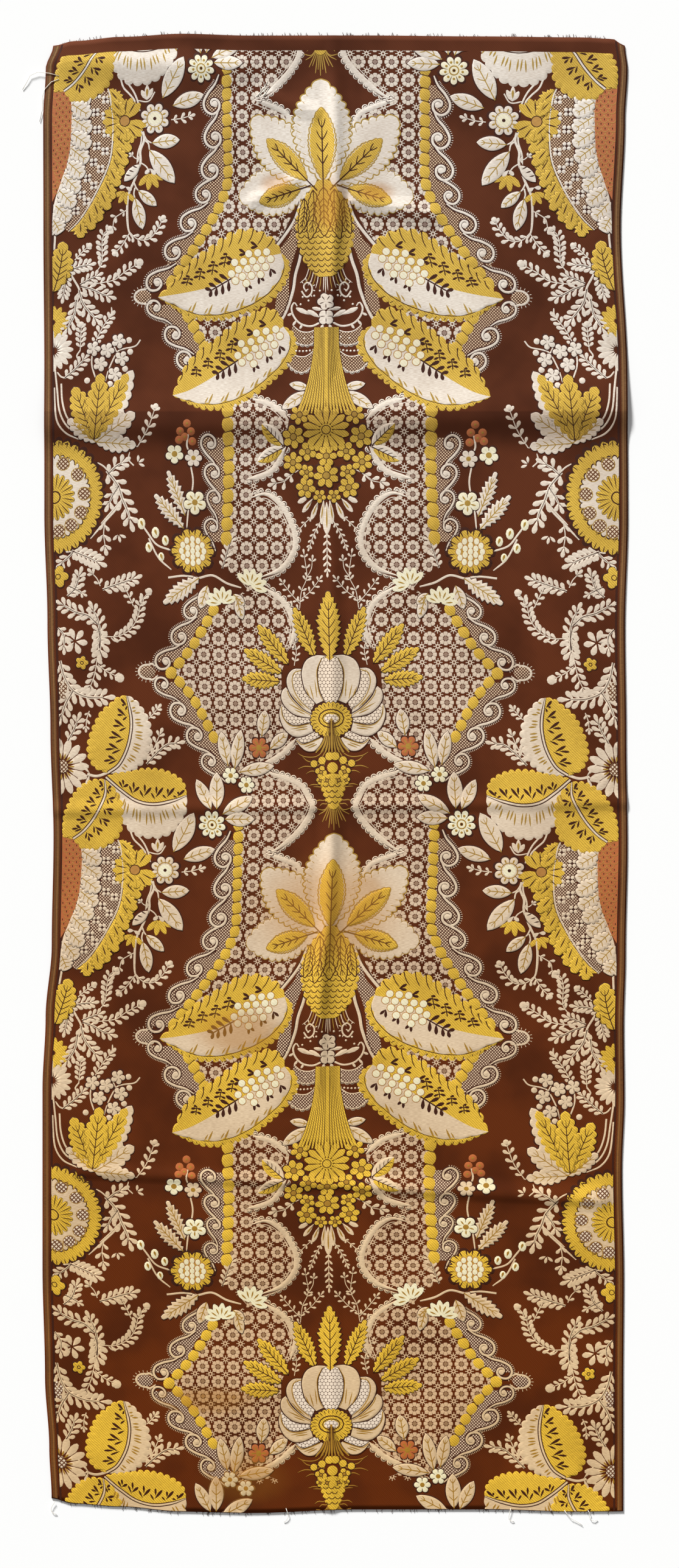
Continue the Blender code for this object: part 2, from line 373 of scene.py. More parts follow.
def veins(finish, base, tip, half, count=4, width=1.6, lift=VEIN_LIFT, both=True, bend=0, belly=1.0,
          reach=0.6, midrib=(0.0, 0.85)):
    """A midrib and count side veins to each side, which slant towards the tip and end in points."""
    share = np.linspace(midrib[0], midrib[1], 9)
    rib = leaf_points(base, tip, 0, bend, belly, 1.0, share, 0 * share)
    put(finish, ribbon(rib, width, lift, start=1.2, end=0.4), both)
    starts = np.linspace(0.22, 0.72, count)
    for side in (-1.0, 1.0):
        for start in starts:
            at = np.linspace(start, start + 0.13, 4)
            out = side * reach * np.linspace(0, 1, 4) ** 0.8
            put(finish, ribbon(leaf_points(base, tip, half, bend, belly, 0.75, at, out), 0.85 * width, lift,
                               start=1.0, end=0.3), both)


def contour(finish, loop, width, lift, both=True):
    """A thread along a closed edge."""
    put(finish, ribbon(np.vstack([loop, loop[:1]]), width, lift, step=2.5), both)


def turned(direction, angle):
    """Directions turned by an angle in degrees."""
    radians = np.radians(angle)
    cosine, sine = np.cos(radians), np.sin(radians)
    u, v = direction[..., 0], direction[..., 1]
    return np.stack([u * cosine - v * sine, u * sine + v * cosine], axis=-1)


def leaflets(finish, bases, directions, lengths, widths, lift=SCROLL_LIFT, belly=1.5, rows=6, both=True):
    """Many small club-shaped leaves, each from its base along its direction, widest past its middle."""
    bases, directions = np.atleast_2d(bases).astype(float), np.atleast_2d(directions).astype(float)
    directions = directions / np.hypot(directions[:, 0], directions[:, 1])[:, None]
    count = len(bases)
    lengths = np.broadcast_to(lengths, count)[:, None, None]
    widths = np.broadcast_to(widths, count)[:, None, None]
    share = np.sin(np.linspace(0, np.pi / 2, rows) ** 0.85 * (np.pi / 2) ** 0.15)[None, :, None]
    across = np.array([-1, 0, 1])[None, None, :]
    half = 0.5 * widths * np.sin(np.pi * (0.06 + 0.9 * share) ** belly) ** 0.8
    sideways = np.stack([directions[:, 1], -directions[:, 0]], axis=1)
    run = lengths * share * np.ones_like(across)
    points = (bases[:, None, None] + directions[:, None, None] * run[..., None]
              + sideways[:, None, None] * (half * across)[..., None])
    put(finish, with_lift(points, np.where(across == 0, lift, rim_lift(lift))), both)


def fern(finish, path, pairs, size, width=None, stem=1.6, spread=48, knob=0.0, lift=SCROLL_LIFT, both=True,
         start=0.12, slim=0.42, taper=0.35):
    """A stem with pairs of leaflets and one at its end. They are longest past the middle of the stem."""
    path = smooth_path(path)
    places, way, _ = even(path, 60)
    put(finish, ribbon(path, stem, lift, start=1.0, end=0.7), both)
    at = np.linspace(start, 0.96, pairs)
    chosen = np.clip((at * 59).astype(int), 0, 59)
    long = size * (1 - taper + taper * np.sin(np.pi * np.linspace(0.15, 0.85, pairs)))
    for turn in (spread, -spread):
        leaflets(finish, places[chosen], turned(way[chosen], turn), long, width or slim * long, lift, 1.9,
                 both=both)
    if knob:
        dots(finish, [places[-1] + way[-1] * knob], knob, lift, both=both)
    else:
        leaflets(finish, places[-1:], way[-1:], size, width or slim * size, lift, 1.9, both=both)


def dots(finish, centres, radius, lift, sides=10, both=True, stretch=(1.0, 1.0)):
    """Small domed discs, or ovals."""
    centres = np.atleast_2d(np.asarray(centres, float))
    angle = np.linspace(0, 2 * np.pi, sides + 1)
    ring = circle(angle, *stretch)
    radii = np.broadcast_to(radius, len(centres))[:, None, None, None]
    shares = np.array([0.0, 0.75, 1.0])[None, :, None, None]
    points = centres[:, None, None] + ring[None, None] * shares * radii
    rim = rim_lift(lift)
    heights = np.array([lift, 0.6 * lift + 0.4 * rim, rim])[None, :, None]
    put(finish, with_lift(points, heights), both)


def hoop(finish, centre, radius, width, lift, both=True, stretch=(1.0, 1.0)):
    """A ring of thread."""
    angle = np.linspace(0, 2 * np.pi, 25)
    loop = np.asarray(centre, float) + radius * circle(angle, *stretch)
    put(finish, ribbon(loop, width, lift, step=2 * np.pi * radius / 16), both)


def blossom(finish, centre, radius, petals, notch=0.35, turn=0.0, lift=BODY_LIFT, both=True,
            stretch=(1.0, 1.0)):
    """A flower in one piece: its radius falls by the share notch between its petals, as a rounded sine."""
    angle = np.linspace(0, 2 * np.pi, petals * 7, endpoint=False)
    reach = radius * (1 - notch * (1 - np.abs(np.sin(0.5 * petals * (angle - turn))) ** 0.6))
    loop = clock(angle, reach * stretch[0], reach * stretch[1])
    centre = np.asarray(centre, float)
    halo(loop + centre, centre, lift, both, 0.86)
    put(finish, filled(loop + centre, centre, lift, rim=0.86), both)


def petals_around(finish, centre, inner, outer, count, width, turn=0.0, lift=BODY_LIFT, both=True, belly=1.25,
                  arc=360.0, rows=6, stretch=(1.0, 1.0)):
    """Separate petals from an inner circle to an outer one, over an arc measured from straight up."""
    if arc == 360.0:
        angle = np.radians(turn) + np.arange(count) * 2 * np.pi / count
    else:
        angle = np.radians(np.linspace(turn - arc / 2, turn + arc / 2, count))
    ways = clock(angle, *stretch)
    lengths = (outer - inner) * np.hypot(ways[:, 0], ways[:, 1])
    leaflets(finish, np.asarray(centre, float) + ways * inner, ways, lengths, width, lift, belly, rows, both)


def level_patch(left, right, lift, columns):
    """A level patch between two rows of points."""
    shares = np.linspace(0, 1, columns + 1)[None, :, None]
    return with_lift(left[:, None] * (1 - shares) + right[:, None] * shares, lift)


def between(left_path, right_path, lift):
    """A level patch between smooth curves through two rows of points that run the same way."""
    return level_patch(even(smooth_path(left_path), 40)[0], even(smooth_path(right_path), 40)[0], lift, 4)


# The lace ground between the brown field and the gold rope: (v, inner u, outer u)

NET_EDGES = np.array([
    (-113, 121, 180), (-98, 108, 165), (-90, 83, 158), (-77, 56, 152), (-54, 42, 150), (-42, 38, 152),
    (-23, 45, 160), (4, 68, 168), (29, 99, 168), (37, 114, 168), (50, 83, 168), (62, 61, 168), (88, 51, 168),
    (110, 56, 168), (175, 62, 168), (205, 60, 178), (215, 54, 184), (231, 58, 193), (274, 80, 221),
    (290, 100, 233), (309, 120, 245), (363, 150, 285), (402, 120, 235), (430, 130, 222), (465, 140, 205),
    (500, 140, 180), (527, 124, 172), (541, 91, 171), (565, 65, 171), (613, 72, 172), (643, 91, 172),
    (655, 113, 173), (660, 137, 173), (668, 120, 173), (676, 109, 173), (684, 112, 173), (692, 118, 173),
    (700, 82, 174), (731, 63, 174), (762, 55, 175), (787, 62, 175), (809, 81, 172), (821, 113, 168),
    (830, 120, 150), (842, 105, 140), (863, 78, 180), (887, 65, 208), (908, 59, 226), (937, 69, 238),
    (966, 80, 262), (980, 85, 272), (994, 85, 262), (1040, 85, 232), (1080, 75, 204), (1092, 65, 196),
    (1108, 82, 186), (1123, 105, 178), (1129, 121, 175), (1144, 108, 163), (1165, 56, 152), (1200, 38, 150),
])
NET_PITCH, FIRST_COLUMN = 26.4, 34.4
# Numbers of rows of rosettes and their places: they stand closer beside the pomegranate
NET_ROWS, NET_HEIGHTS = (0, 3, 24, 31, 35, 40, 44), (-108, -25, 599, 803, 924, 1056, 1162)


# A rosette's petals, a star's spokes and its ring, and the diamond in a rosette, in squares
ROSETTE_REACH, STAR_REACH, DIAMOND_HALF = 11.4, 7.2, 4.6
PETAL_SHARES, PETAL_HALVES = np.array([0.4, 0.62, 0.86, 1.0]), np.array([1.7, 2.8, 3.5, 2.0])
SPOKE_SHARES, SPOKE_HALVES = np.array([0.42, 1.0]), np.array([0.5, 0.7])
STAR_RING = np.array([1.8, 2.9, 4.0])


def lace_edges(v):
    """The inner and the outer edge of the lace at v."""
    return [np.interp(v, NET_EDGES[:, 0], NET_EDGES[:, column]) for column in (1, 2)]


def lace_ground():
    """Rosettes and ringed stars in turn on a square net, cut off at the edges of the lace."""
    rows = np.interp(np.arange(0, 44.5, 0.5), NET_ROWS, NET_HEIGHTS)
    columns = FIRST_COLUMN + np.arange(10) * NET_PITCH
    rosettes = np.stack([grid.ravel() for grid in np.meshgrid(columns, rows[::2])], axis=1)
    stars = np.stack([grid.ravel() for grid in np.meshgrid(columns + 0.5 * NET_PITCH, rows[1::2])], axis=1)

    def inside(centres, margin):
        inner, outer = lace_edges(centres[:, 1])
        keep = (centres[:, 0] > inner - margin) & (centres[:, 0] < outer + margin)
        return centres[keep & (centres[:, 1] > -100) & (centres[:, 1] < 1150)]

    def cut_off(points):
        inner, outer = lace_edges(points[..., 1])
        points[..., 0] = np.clip(points[..., 0], inner, np.maximum(outer, inner))
        return points

    rosettes, stars = inside(rosettes, 9), inside(stars, 6)
    angle = np.arange(8) * np.pi / 4
    ways = np.stack([np.sin(angle), np.cos(angle)], axis=1)
    sideways = np.stack([ways[:, 1], -ways[:, 0]], axis=1)
    across = np.array([-1, 0, 1])
    petal = (ways[:, None, None] * (ROSETTE_REACH * PETAL_SHARES)[None, :, None, None]
             + sideways[:, None, None] * (PETAL_HALVES[:, None] * across)[None, :, :, None])
    petal = with_lift(petal, np.where(across == 0, ROSETTE_LIFT, 0.02)[None, None, :])
    whole = petal[None] + with_lift(rosettes, 0.0)[:, None, None, None]
    put("lace_net", cut_off(whole.reshape((-1,) + petal.shape[1:])))

    spoke = (ways[:, None, None] * (STAR_REACH * SPOKE_SHARES)[None, :, None, None]
             + sideways[:, None, None] * (SPOKE_HALVES[:, None] * np.array([-1, 1]))[None, :, :, None])
    spoke = with_lift(spoke, ROSETTE_LIFT * 0.8)
    put("lace_net", cut_off((spoke[None] + with_lift(stars, 0.0)[:, None, None, None]).reshape(-1, 2, 2, 3)))
    ring = circle(np.linspace(0, 2 * np.pi, 9))
    rims = with_lift(ring[None] * STAR_RING[:, None, None], np.array([0, 1, 0])[:, None] * ROSETTE_LIFT)
    put("lace_net", cut_off(rims[None] + with_lift(stars, 0.0)[:, None, None]))

    diamond = DIAMOND_HALF * np.array([[(0, -1), (1, 0), (0, 1), (-1, 0), (0, -1)]])
    corners = with_lift(np.concatenate([diamond * 0.05, diamond]), 1.3 * ROSETTE_LIFT)
    put("net_diamonds", cut_off(corners[None] + with_lift(rosettes, 0.0)[:, None, None]))


# The scalloped bands along the inner edge of the lace, with the brown field on their left as they run

LACE_BANDS = [
    [(121, -113), (108, -98), (83, -90), (56, -77), (42, -54), (37, -42), (45, -23), (68, 4), (99, 29),
     (118, 37)],
    [(118, 37), (83, 50), (61, 62), (51, 88), (46, 106)],
    [(128, 529), (91, 541), (65, 565)],
    [(70, 608), (91, 643), (113, 655), (139, 661)],
    [(131, 691), (106, 685), (82, 700), (63, 731), (55, 762), (62, 787), (82, 809), (117, 822)],
    [(112, 838), (78, 863), (65, 887), (59, 908), (69, 940)],
    [(62, 1088), (82, 1108), (105, 1123), (124, 1129)],
]
SCALLOP_PITCH, SCALLOP_SPREAD = 10.6, 96
BAND_WIDTH = 9.4


def lace_bands():
    """Flat ribbons that end in points, each with a row of scallops outside it and a fine thread inside."""
    for points in LACE_BANDS:
        path = smooth_path(points)
        length = path_length(path)
        put(LACE, ribbon(path, BAND_WIDTH, BAND_LIFT, start=0.15, end=0.15, flat=0.75))
        places, _, side = even(path, 200)
        inside = 1.0 if side[100] @ (np.array([200, places[100, 1]]) - places[100]) > 0 else -1.0
        put(LACE, ribbon(places + side * inside * (0.5 * BAND_WIDTH + 2.4), 1.5, BAND_LIFT))
        count = max(3, int(length / SCALLOP_PITCH))
        at = np.linspace(8, 191, count).astype(int)
        edge = places[at] - side[at] * inside * 0.5 * BAND_WIDTH * 0.9
        outward = -side[at] * inside
        scallops(edge, outward)


def scallops(edge, outward, radius=5.6):
    """Half discs along an edge, each with a brown crescent inside its rim."""
    angle = np.radians(np.linspace(-SCALLOP_SPREAD, SCALLOP_SPREAD, 9))
    sideways = np.stack([outward[:, 1], -outward[:, 0]], axis=1)
    rim = (outward[:, None] * np.cos(angle)[None, :, None] + sideways[:, None] * np.sin(angle)[None, :, None])
    shares = np.array([0.0, 0.86, 1.0])[None, :, None, None]
    disc = edge[:, None, None] + rim[:, None] * shares * radius
    heights = np.array([BAND_LIFT, BAND_LIFT, EDGE_LIFT])[None, :, None]
    put(LACE, with_lift(disc, heights))
    inner = angle / np.radians(SCALLOP_SPREAD)
    crescent = np.stack([0.58 - 0.1 * (1 - inner ** 2), 0.58 + 0.16 * (1 - inner ** 2)])
    gap = edge[:, None, None] + rim[:, None] * crescent[None, :, :, None] * radius
    put(MARKS, with_lift(gap, BAND_LIFT + 0.07))


# The gold rope: chains of discs


def rope():
    """Segments that overlap along the rope's line, with a brown thread across each narrow waist."""
    upper = smooth_path([(167, -14), (167, 80), (167, 165), (177, 200), (193, 231), (221, 274), (247, 310),
                         (268, 338)])
    runs = [(even(upper, 19), 9.6, 12.4), (even(np.array([(240, 396), (222, 428), (202, 462)]), 5), 11, 12.5),
            (even(smooth_path([(171, 548), (170, 650), (175, 758)]), 10), 11.0, 13.6),
            (even(smooth_path([(201, 877), (236, 934), (277, 981)]), 7), 9.4, 11.6),
            (even(smooth_path([(277, 981), (240, 1024), (206, 1086)]), 7), 9.4, 11.6)]
    for (places, way, side), wide, long in runs:
        angle = np.linspace(0, 2 * np.pi, 15)
        shares = np.array([0.0, 0.8, 1.0])[None, :, None, None]
        ring = (side[:, None] * (wide * np.cos(angle))[None, :, None]
                + way[:, None] * (long * np.sin(angle))[None, :, None])
        discs = places[:, None, None] + ring[:, None] * shares
        heights = np.array([BAND_LIFT + 0.1, BAND_LIFT + 0.08, EDGE_LIFT])[None, :, None]
        put("gold_rope", with_lift(discs, heights))
        waists = 0.5 * (places[1:] + places[:-1])
        for waist, direction, across in zip(waists, way, side):
            line = np.array([waist - across * 7 - direction * 2, waist, waist + across * 7 + direction * 2])
            put(MARKS, ribbon(line, 1.3, 0.42, start=0.6, end=0.6))


# The scrolls outside the rope: u, v, the border's turn there in degrees, size, and whether it runs up

SCROLL_EYES = [
    (188, 45, 0, 1.0, False), (187, 100, 0, 1.0, False), (193, 153, 8, 1.0, False),
               (206, 195, 22, 0.9, False),
    (232, 243, 32, 0.95, False), (260, 290, 34, 0.95, False), (293, 341, 38, 0.95, False),
    (295, 380, -34, 0.82, True), (262, 425, -36, 0.95, True), (242, 466, -28, 0.9, True),
    (200, 604, -6, 0.9, True), (194, 652, -4, 0.9, True), (192, 694, 4, 0.8, True), (197, 741, 4, 0.8, True),
    (236, 880, 20, 0.8, False), (257, 923, 30, 0.9, False), (286, 964, 36, 0.9, False),
    (290, 1000, -34, 0.82, True), (262, 1043, -36, 0.95, True), (234, 1084, -32, 0.95, True),
    (211, 1126, -28, 0.85, True),
]
SCROLL_LINE = [(-48, -7), (-32, 0), (-17, 12), (-1, 19.5), (12, 15.5), (17, 3.5), (9, -7), (-3, -7.5),
               (-8, 0.5),
               (-4, 6.5), (2, 5), (2, 0)]
LOOP_CENTRES = [(317, 362), (318, 980)]


def scroll_axes(turn):
    """The directions along the border and out of it, where the border is turned by an angle in degrees."""
    sine, cosine = np.sin(np.radians(turn)), np.cos(np.radians(turn))
    return np.array([sine, cosine]), np.array([cosine, -sine])


def scrolls():
    """Tapering lines that swell out, curl under and end in a round eye, each with a comb outside."""
    for u, v, turn, size, runs_up in SCROLL_EYES:
        line = smooth_path(SCROLL_LINE, 5) * size
        along = -line[:, 0] if runs_up else line[:, 0]
        way, out = scroll_axes(turn)
        path = np.array([u, v]) + along[:, None] * way + line[:, 1:] * out
        put(MARKS, ribbon(path, 9.4 * size, NET_LIFT + 0.03, flat=0.8, step=2.6))
        put(LACE, ribbon(path, 6.4 * size, SCROLL_LIFT, start=0.5, end=0.9, step=2.6, flat=0.4))
        dots(MARKS, [(u, v)], 9 * size, NET_LIFT + 0.03)
        dots(LACE, [(u, v)], 6.6 * size, SCROLL_LIFT + 0.05)
        places, _, side = even(path, 90)
        outside = side if ((side[22] @ out) > 0) else -side
        comb = np.arange(8, 56, 2)
        leaflets(LACE, places[comb] + outside[comb] * 1.4, outside[comb], 5.0 * size, 1.7, SCROLL_LIFT,
                 rows=3, belly=1.2)
    for centre in LOOP_CENTRES:
        angle = np.radians(np.linspace(-150, 150, 31))
        reach = 13.5 * np.where(np.abs(angle) > 1.9, 1.25, 1.0)
        loop = np.array(centre) + circle(angle, reach * 1.15, reach * 0.85)
        put(LACE, ribbon(loop, 4.2, SCROLL_LIFT, step=2.6))
        normal = circle(angle)[3:-3:2]
        leaflets(LACE, loop[3:-3:2] + normal * 1.6, normal, 5.0, 1.8, SCROLL_LIFT, rows=3, belly=1.2)


def check_nets():
    """Level patches of fine net between the rope and the scrolls, beside the stems, and under the garland."""
    runs = [SCROLL_EYES[0:7], SCROLL_EYES[7:10], SCROLL_EYES[10:14], SCROLL_EYES[14:17], SCROLL_EYES[17:21]]
    for run in runs:
        outer = []
        for u, v, turn, size, runs_up in run:
            way, out = scroll_axes(turn)
            flip = -1 if runs_up else 1
            stations = [(-32, -1), (-17, 10), (0, 17), (13, 12)][::flip]
            outer += [np.array([u, v]) + size * (flip * a * way + b * out) for a, b in stations]
        outer = np.array(sorted(outer, key=lambda point: point[1]))
        rows = np.arange(outer[0, 1], outer[-1, 1], 3.0)
        right = np.interp(rows, outer[:, 1], outer[:, 0])
        left = np.minimum(lace_edges(rows)[1] + 5, right)
        put("check_net", level_patch(np.stack([left, rows], axis=1), np.stack([right, rows], axis=1),
                                     NET_LIFT, 5))
    for centre in LOOP_CENTRES:
        angle = np.linspace(0, 2 * np.pi, 16, endpoint=False)
        loop = np.array(centre) + circle(angle, 14, 11)
        put("check_net", filled(loop, np.array(centre), NET_LIFT, inner=(0.0,)))
    beside_stem = between(
        [(42, 228), (42, 262), (52, 290), (61, 318), (64, 350), (64, 372), (74, 394)],
        [(50, 228), (61, 262), (78, 284), (68, 305), (70, 330), (84, 356), (90, 388)], NET_LIFT)
    put("check_net", beside_stem)


# Shapes with two edges, and leaves with their veins


def panel(finish, inner, outer, lift=BODY_LIFT, lobes=0, depth=0.0, toothed=False, both=True,
          loose_inner=False):
    """A shape between two curves that run the same way. Its outer edge is lobed or toothed."""
    rows = max(14, lobes * (4 if toothed else 6) + 1)
    near, (far, _, side) = even(smooth_path(inner), rows)[0], even(smooth_path(outer), rows)
    outward = np.sign(((far - near) * side).sum())
    if lobes:
        share = np.linspace(0, 1, rows)
        wave = (lobes * share) % 1 if toothed else np.abs(np.sin(np.pi * lobes * share)) ** 0.7
        far = far + side * (outward * depth * (wave - 0.4) * np.sin(np.pi * share) ** 0.3)[:, None]
    shares = np.array([0, 0.05, 0.4, 0.75, 0.94, 1.0])
    heights = np.full(len(shares), lift)
    heights[-1] = EDGE_LIFT
    if loose_inner:
        heights[0] = EDGE_LIFT
    put(finish, with_lift(near[:, None] + (far - near)[:, None] * shares[None, :, None], heights[None, :]),
        both)


def veined(finish, base, tip, half, vein=GOLD_THREAD, count=3, lift=BODY_LIFT, both=True, width=1.5, **form):
    """A leaf with a midrib and side veins in another thread."""
    leaf(finish, base, tip, half, lift, both, **form)
    veins(vein, base, tip, half, count, width, lift + 0.12, both, form.get("bend", 0), form.get("belly", 1.0))


def gold_leaf(base, tip, half, lobes=8, depth=5.0, count=5, lift=BODY_LIFT, both=True, **form):
    """A saw-edged gold leaf with brown veins."""
    veined(GOLD, base, tip, half, MARKS, count, lift, both, 1.5, lobes=lobes, depth=depth,
           toothed=True, **form)


def clubs(finish, bases, tips, width, lift=VEIN_LIFT, both=True, belly=1.5):
    """Club-shaped marks from bases to tips."""
    bases, tips = np.atleast_2d(np.asarray(bases, float)), np.atleast_2d(np.asarray(tips, float))
    ways = tips - bases
    leaflets(finish, bases, ways, np.hypot(ways[:, 0], ways[:, 1]), width, lift, belly, both=both)


def thread(finish, points, width, lift=SCROLL_LIFT, both=True, start=1.0, end=0.6):
    """A line of thread along a curve through the points."""
    put(finish, ribbon(smooth_path(points), width, lift, start=start, end=end), both)


def scale_edge(finish, u, v, wide, deep, spread, width, lift, both=True, ends=0.5, count=7):
    """A thread along the lower edge of one scale: an oval's arc to spread degrees each side of its foot."""
    arc = np.radians(np.linspace(-spread, spread, count))
    line = np.stack([u + wide * np.sin(arc), v + deep * np.cos(arc)], axis=1)
    put(finish, ribbon(line, width, lift, start=ends, end=ends), both)


# The large palmette on the centre line and the fruit that hangs from it


def palmette():
    """Five broad scalloped cream leaves edged with gold, each with a narrow gold leaf inside it."""
    broad = [((20, 176), (148, 198), 38, 0.30, 11, True), ((14, 178), (122, 66), 41, 0.35, 13, True),
             ((0, 172), (0, 3), 46, 0.41, 14, False)]
    for base, tip, half, lift, lobes, both in broad:
        loop, spine = leaf_outline(base, tip, half, belly=1.05, full=0.72, lobes=lobes, depth=6)
        put(LEAF, filled(loop, spine, lift, inner=(0.0, 0.35, 0.7)), both)
        contour(GOLD_THREAD, loop, 2.0, lift + 0.07, both)
        share = np.arange(2, lobes) / lobes
        strokes = []
        for back, reach in ((0, 0.93), (0.03, 0.74)):
            strokes.append(np.concatenate([
                leaf_points(base, tip, half, 0, 1.05, 0.72, share - back, reach * side + 0 * share)
                for side in (-1, 1)]))
        clubs(GOLD_THREAD, *strokes, 1.5, lift + 0.07, both)
    for base, tip, half, both in [((40, 184), (112, 206), 17, True), ((28, 170), (97, 102), 18, True),
                                  ((0, 170), (0, 50), 22, False)]:
        loop = leaf_outline(base, tip, half + 0.6, belly=1.05, lobes=14, depth=3, toothed=True)[0]
        contour(GOLD_THREAD, loop, 2.0, 0.56, both)
        leaf(GOLD, base, tip, half, 0.52, both, lobes=14, depth=3, toothed=True, belly=1.05)
        veins(MARKS, base, tip, half, 4, 2.0, 0.66, both, belly=1.05, reach=0.45, midrib=(-0.25, 0.82))


FRUIT_HALF = np.array([(169, 6), (178, 14), (193, 28), (208, 39), (226, 47), (250, 49), (275, 46), (298, 38),
                       (315, 27),
                       (329, 12)])


def hanging_fruit():
    """A gold fruit of overlapping scales in brown outline, with drooping leaves above and whiskers below."""
    edge = smooth_path(np.stack([FRUIT_HALF[:, 1], FRUIT_HALF[:, 0]], axis=1))
    middle = np.stack([0 * edge[:, 1], edge[:, 1]], axis=1)
    panel(GOLD, middle, edge, 0.5, lobes=13, depth=5)
    for row, v in enumerate(np.arange(232, 326, 9.5)):
        half = np.interp(v, FRUIT_HALF[:, 0], FRUIT_HALF[:, 1]) - 4
        for u in np.arange(-half + (row % 2) * 5.5, half, 11.0):
            scale_edge(MARKS, u, v - 2, 5.2, 6.5, 80, 1.5, 0.62, False)
    for base, tip, half, both in (((34, 200), (44, 258), 9, True), ((18, 186), (26, 268), 12, True),
                                  ((0, 182), (0, 262), 15, False)):
        loop = leaf_outline(base, tip, half, bend=-4 if both else 0, lobes=8, depth=3, toothed=True)[0]
        veined(GOLD, base, tip, half, MARKS, 5, 0.6, both=both, bend=-4 if both else 0, lobes=8,
               depth=3, toothed=True)
        contour(MARKS, loop, 1.7, 0.7, both)
    for number, u in enumerate(np.linspace(3, 34, 7)):
        whisker = [(u * 0.8, 318 - number), (u, 336 - number), (1.3 * u, 352 - 2.2 * number)]
        thread(GOLD_THREAD if number % 2 else LACE, whisker, 1.7, start=0.8, end=0.4)
    thread(LACE, [(0, 328), (0, 345), (0, 356)], 1.5, both=False)


def stems():
    """The cream stems that carry the leaf fruits, each with a brown line, and the curl of a tendril."""
    for points in ([(40, 206), (52, 236), (74, 266), (94, 288), (108, 300)],
                   [(38, 270), (44, 300), (52, 325), (57, 352), (70, 386), (90, 420)]):
        thread(LACE, points, 5.6, 0.34, end=0.8)
        thread(MARKS, np.array(points) + (3.2, -1.4), 1.2, 0.45)
    curl = [(42, 352), (34, 362), (25, 356), (24, 344), (32, 338), (38, 344), (35, 351), (30, 349)]
    thread(LACE, curl, 3.2)
    comb_tips = np.array([(24, 362), (18, 352), (18, 342), (24, 334), (34, 331), (42, 336)])
    clubs(LACE, comb_tips + (np.array([31, 348]) - comb_tips) * 0.35, comb_tips, 2.2, SCROLL_LIFT)


def garland():
    """A lobed cream figure with curled leaves, dots, and two hanging bands of net with scalloped edges."""
    blossom(LACE, (0, 370), 16, 5, 0.35, 0.3, both=False)
    petals_around(MARKS, (0, 370), 3, 11, 5, 1.6, 36, 0.46, False)
    blossom(LACE, (0, 396), 15, 4, 0.3, 0.0, 0.33, both=False)
    petals_around(MARKS, (0, 394), 2, 10, 4, 1.4, 0, 0.46, False)
    clubs(LACE, [(4, 404), (2, 384)], [(10, 420), (24, 380)], 7, 0.34)
    clubs(LACE, [(10, 396), (24, 392)], [(32, 384), (52, 380)], 9, 0.3)
    thread(LACE, [(10, 404), (26, 410), (44, 406), (56, 394), (60, 380), (55, 371), (50, 377)], 3.6)
    clubs(LACE, [(40, 406), (50, 399), (57, 388)], [(46, 414), (58, 408), (67, 392)], 5, SCROLL_LIFT)
    upper = [(14, 414), (30, 420), (46, 418), (58, 408)]
    lower = [(12, 428), (28, 440), (48, 438), (62, 428)]
    put("check_net", between(upper, lower, NET_LIFT + 0.05))
    deeper = [(20, 450), (36, 460), (54, 458), (66, 448)]
    deepest = [(21, 472), (38, 485), (56, 481), (70, 466)]
    put("check_net", between(deeper, deepest, NET_LIFT + 0.05))
    for path in (upper, deeper):
        thread(LACE, path, 2.6)
    for path in (lower, deepest):
        places, _, side = even(smooth_path(path), 8)
        down = side * np.sign(side[:, 1:])
        scallops(places, down, 4.6)
        thread(LACE, path, 2.4)
    dotted = np.stack([np.linspace(16, 64, 9), 446 + 5 * np.sin(np.linspace(0.4, 2.6, 9))], axis=1)
    spots = [(10, 352), (20, 360), (14, 382), (30, 368), (40, 362), (34, 352), (44, 374), (24, 428),
             (38, 430)]
    dots(LACE, np.concatenate([spots, dotted]), 1.9, SCROLL_LIFT, sides=8)


def sheaf():
    """Fine gold strands that spread from a tied neck, with brown between them and barbs at the sides."""
    for low, wide, lift in ((418, 16, 0.46), (426, 18, 0.44)):
        dots(GOLD, [(0, low)], wide, lift, both=False, stretch=(1.0, 0.35))
    for number, u in enumerate(np.linspace(2.4, 44, 9)):
        strand = np.array([(0.42 * u, 412), (0.44 * u, 446), (0.58 * u, 484), (0.82 * u, 522),
                           (1.1 * u, 558 - number)])
        thread(BLOSSOMS, strand, 4.6, 0.4 + 0.01 * number)
        thread(MARKS, strand + (2.4, 0), 0.9, 0.52)
    for v in np.arange(440, 540, 12):
        u = np.interp(v, [414, 446, 484, 522, 556], [18, 19, 25, 34, 44])
        clubs(GOLD, [(u - 2, v)], [(u + 5, v + 11)], 2.8, 0.3)
    veined(LEAF, (30, 512), (64, 505), 8, count=2)
    veined(LEAF, (32, 518), (77, 546), 11, count=3)


# The gold bouquet under the sheaf: centre u, v, radius, petals

BOUQUET = [(46, 556, 19, 6), (57, 592, 22, 6), (32, 616, 18, 5), (58, 634, 20, 6), (36, 676, 20, 6),
           (34, 650, 15, 5)]


def gold_flower(centre, radius, petals, both=True, lift=BODY_LIFT, turn=0.0):
    """A small gold flower of separate petals with brown strokes on them, and a ring at its middle."""
    blossom(BLOSSOMS, centre, radius, petals, 0.5, turn, lift, both)
    petals_around(MARKS, centre, 0.2 * radius, 0.62 * radius, petals, 1.5, np.degrees(turn), lift + 0.1, both)
    dots(GOLD_THREAD, [centre], 0.24 * radius, lift + 0.14, both=both)
    hoop(MARKS, centre, 0.26 * radius, 1.2, lift + 0.16, both)


def daisy(finish, mark, centre, radius, petals, width, eye, both=True, lift=BODY_LIFT):
    """A flower of separate long petals round an eye with a ring of dots."""
    petals_around(finish, centre, 0.25 * radius, radius, petals, width, 0, lift, both)
    dots(finish, [centre], eye, lift + 0.08, sides=14, both=both)
    hoop(mark, centre, 0.72 * eye, 1.4, lift + 0.16, both)


